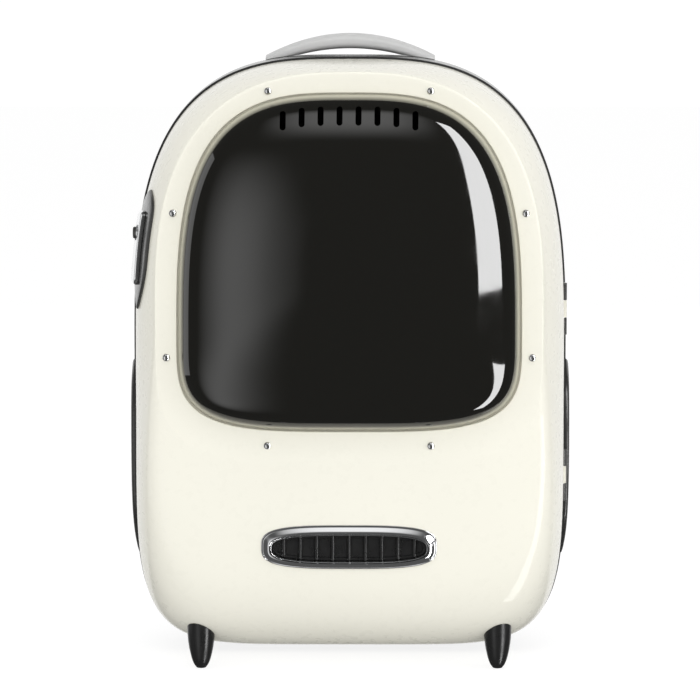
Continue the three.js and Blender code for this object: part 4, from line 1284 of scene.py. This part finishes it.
ribbed_web, nodes, links, shader = finish_of(
    "ribbed_webbing", Base_Color=(0.028, 0.028, 0.031), Roughness=0.75, Specular_IOR_Level=0.25,
    Sheen_Weight=0.2, Sheen_Roughness=0.4)
place = nodes.new("ShaderNodeTexCoord")
ribs = nodes.new("ShaderNodeTexWave")
ribs.bands_direction = "Z"
ribs.inputs["Scale"].default_value = 210
ribs.inputs["Distortion"].default_value = 0.6
cords = nodes.new("ShaderNodeTexWave")
cords.bands_direction = "X"
cords.inputs["Scale"].default_value = 105
for texture in (ribs, cords):
    links.new(place.outputs["Object"], texture.inputs["Vector"])
first = raise_by(nodes, links, shader, ribs, 0.0003, 0.7)
raise_by(nodes, links, shader, cords, 0.0004, 0.5, first)
spread_to(nodes, links, mottle(nodes, links, 260, 2), shader.inputs["Base Color"],
          (0.022, 0.022, 0.024), (0.036, 0.036, 0.039))

for side, end in ((1, "right"), (-1, "left")):
    for source, name, finish, slot_name, node in (
            (strap, "padded_strap_", mesh_cloth, "pad_fabric", "shoulder_strap_"),
            (binding[0], "strap_inner_binding_", plain_cloth, "pad_fabric", None),
            (binding[1], "strap_outer_binding_", plain_cloth, "pad_fabric", None),
            (strap_stitches, "strap_stitches_", None, "pad_fabric", None),
            (buckle, "ladder_buckle_", gloss_black, "black_plastic", "strap_buckle_"),
            (web, "webbing_run_", ribbed_web, "webbing", "strap_webbing_"),
            (anchor, "webbing_anchor_", gloss_black, "black_plastic", "strap_anchor_")):
        piece = bpy.data.objects.new(name + end, source.data.copy())
        bpy.context.collection.objects.link(piece)
        if side < 0:
            piece.data.transform(((-1, 0, 0, 0), (0, 1, 0, 0), (0, 0, 1, 0), (0, 0, 0, 1)))
            piece.data.flip_normals()
        if finish is not None:
            piece.data.materials.clear()
            piece.data.materials.append(finish)
        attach(piece, "carrier")
        if node is not None:
            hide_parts(node + end)
for source in (strap, *binding, strap_stitches, buckle, web, anchor):
    bpy.data.objects.remove(source)


# STAGE
# A pale floor and world with soft studio lights, and a camera at the photograph's angle. Some lamps only
# light the pack, and the others are only seen as reflections in its gloss.
scene = bpy.context.scene
target = Vector((0, seam_y, 215.5 * mm))
azimuth = math.radians(0.4)
elevation = math.radians(6.5)
distance = 3.5
floor_reach = 6
floor_corners = [(-floor_reach, -floor_reach, 0), (floor_reach, -floor_reach, 0),
                 (floor_reach, floor_reach, 0), (-floor_reach, floor_reach, 0)]
floor_mesh = bpy.data.meshes.new("floor")
floor_mesh.from_pydata(floor_corners, [], [(0, 1, 2, 3)])
floor = bpy.data.objects.new("studio_floor", floor_mesh)
bpy.context.collection.objects.link(floor)
pale, nodes, links, shader = finish_of("pale_floor", Base_Color=(0.25, 0.25, 0.25), Roughness=0.8,
                                       Specular_IOR_Level=0.1, Emission_Color=(1, 1, 1))
ray = nodes.new("ShaderNodeLightPath")
glow = nodes.new("ShaderNodeMix")
floor_light, floor_seen = 0.45, 0.84
glow.inputs["A"].default_value = floor_light
glow.inputs["B"].default_value = floor_seen
links.new(ray.outputs["Is Camera Ray"], glow.inputs["Factor"])
links.new(glow.outputs["Result"], shader.inputs["Emission Strength"])
floor_mesh.materials.append(pale)
floor.visible_glossy = False

world = bpy.data.worlds.new("studio")
scene.world = world
world.use_nodes = True
nodes, links = world.node_tree.nodes, world.node_tree.links
background = nodes["Background"]
background.inputs["Color"].default_value = (1, 1, 1, 1)
ray = nodes.new("ShaderNodeLightPath")
world_light, world_in_gloss, world_seen = 0.64, 0.1, 1.05
dim = nodes.new("ShaderNodeMix")
dim.inputs["A"].default_value = world_light
dim.inputs["B"].default_value = world_in_gloss
mix = nodes.new("ShaderNodeMix")
mix.inputs["B"].default_value = world_seen
links.new(ray.outputs["Is Glossy Ray"], dim.inputs["Factor"])
links.new(dim.outputs["Result"], mix.inputs["A"])
links.new(ray.outputs["Is Camera Ray"], mix.inputs["Factor"])
links.new(mix.outputs["Result"], background.inputs["Strength"])


def fade_out(light, wide_share, high_share):
    """Lets a flat lamp fade towards its edges, over these shares of its width and height."""
    light.use_nodes = True
    nodes, links = light.node_tree.nodes, light.node_tree.links
    across = nodes.new("ShaderNodeSeparateXYZ")
    links.new(nodes.new("ShaderNodeNewGeometry").outputs["Parametric"], across.inputs[0])
    both = nodes.new("ShaderNodeMath")
    both.operation = "MULTIPLY"
    for index, share in enumerate((wide_share, high_share)):
        other_way = nodes.new("ShaderNodeMath")
        other_way.operation = "SUBTRACT"
        other_way.inputs[0].default_value = 1
        links.new(across.outputs[index], other_way.inputs[1])
        nearest = nodes.new("ShaderNodeMath")
        nearest.operation = "MINIMUM"
        links.new(across.outputs[index], nearest.inputs[0])
        links.new(other_way.outputs[0], nearest.inputs[1])
        ease = nodes.new("ShaderNodeMapRange")
        ease.interpolation_type = "SMOOTHSTEP"
        ease.inputs["From Max"].default_value = share
        links.new(nearest.outputs[0], ease.inputs["Value"])
        links.new(ease.outputs["Result"], both.inputs[index])
    emission = next(node for node in nodes if node.type == "EMISSION")
    links.new(both.outputs[0], emission.inputs["Strength"])


def softbox(name, place, aim, width, height, radiance, fill):
    """A flat lamp. A fill lamp only lights; the others are only seen in the gloss."""
    light = bpy.data.lights.new(name, "AREA")
    light.shape = "RECTANGLE"
    light.size, light.size_y = width, height
    light.energy = radiance * math.pi * width * height
    lamp = bpy.data.objects.new(name, light)
    bpy.context.collection.objects.link(lamp)
    lamp.location = place
    lamp.rotation_euler = (Vector(aim) - Vector(place)).to_track_quat("-Z", "Y").to_euler()
    lamp.visible_glossy = not fill
    lamp.visible_diffuse = fill
    lamp.visible_camera = False
    return light


def round_the_pack(azimuth, away, height):
    turn = math.radians(azimuth)
    return (away * math.sin(turn), -away * math.cos(turn), height)


pack_middle = (0, 0, 0.22)
softbox("front_fill", (0, -2.6, 0.8), pack_middle, 1.6, 1.6, 3.6, True)
softbox("right_fill", (1.7, -0.7, 0.5), pack_middle, 1.0, 1.2, 1.5, True)
softbox("top_fill", (0, -0.5, 1.8), pack_middle, 1.4, 1.2, 0.8, True)
softbox("right_gloss_high", round_the_pack(42, 1.5, 1.12), (0, 0, 1.12), 0.45, 1.66, 9, False)
softbox("right_gloss_low", round_the_pack(47, 1.5, -0.82), (0, 0, -0.82), 0.42, 1.78, 9, False)
left_gloss = softbox("left_gloss", round_the_pack(-28, 1.6, -0.22), (0, 0, -0.22), 1.3, 2.75, 0.85, False)
fade_out(left_gloss, 0.5, 0.3)
softbox("side_gloss", round_the_pack(-92, 1.8, 0.5), (0, 0, 0.3), 1.0, 1.5, 0.9, False)
top_gloss = softbox("top_gloss", (0, -1.5, 1.8), pack_middle, 1.9, 1.2, 1.0, False)
fade_out(top_gloss, 0.5, 0.4)
softbox("back_gloss", (0, 2.2, 0.7), (0, 0, 0.3), 7, 3.4, 0.95, False)

camera_data = bpy.data.cameras.new("camera")
camera_data.lens = 255
camera_data.sensor_width = 36
camera = bpy.data.objects.new("camera", camera_data)
bpy.context.collection.objects.link(camera)
camera.location = target + distance * Vector((math.sin(azimuth) * math.cos(elevation),
                                              -math.cos(azimuth) * math.cos(elevation),
                                              math.sin(elevation)))
camera.rotation_euler = (target - camera.location).to_track_quat("-Z", "Y").to_euler()
scene.camera = camera
scene.view_settings.view_transform = "Standard"
scene.view_settings.look = "None"
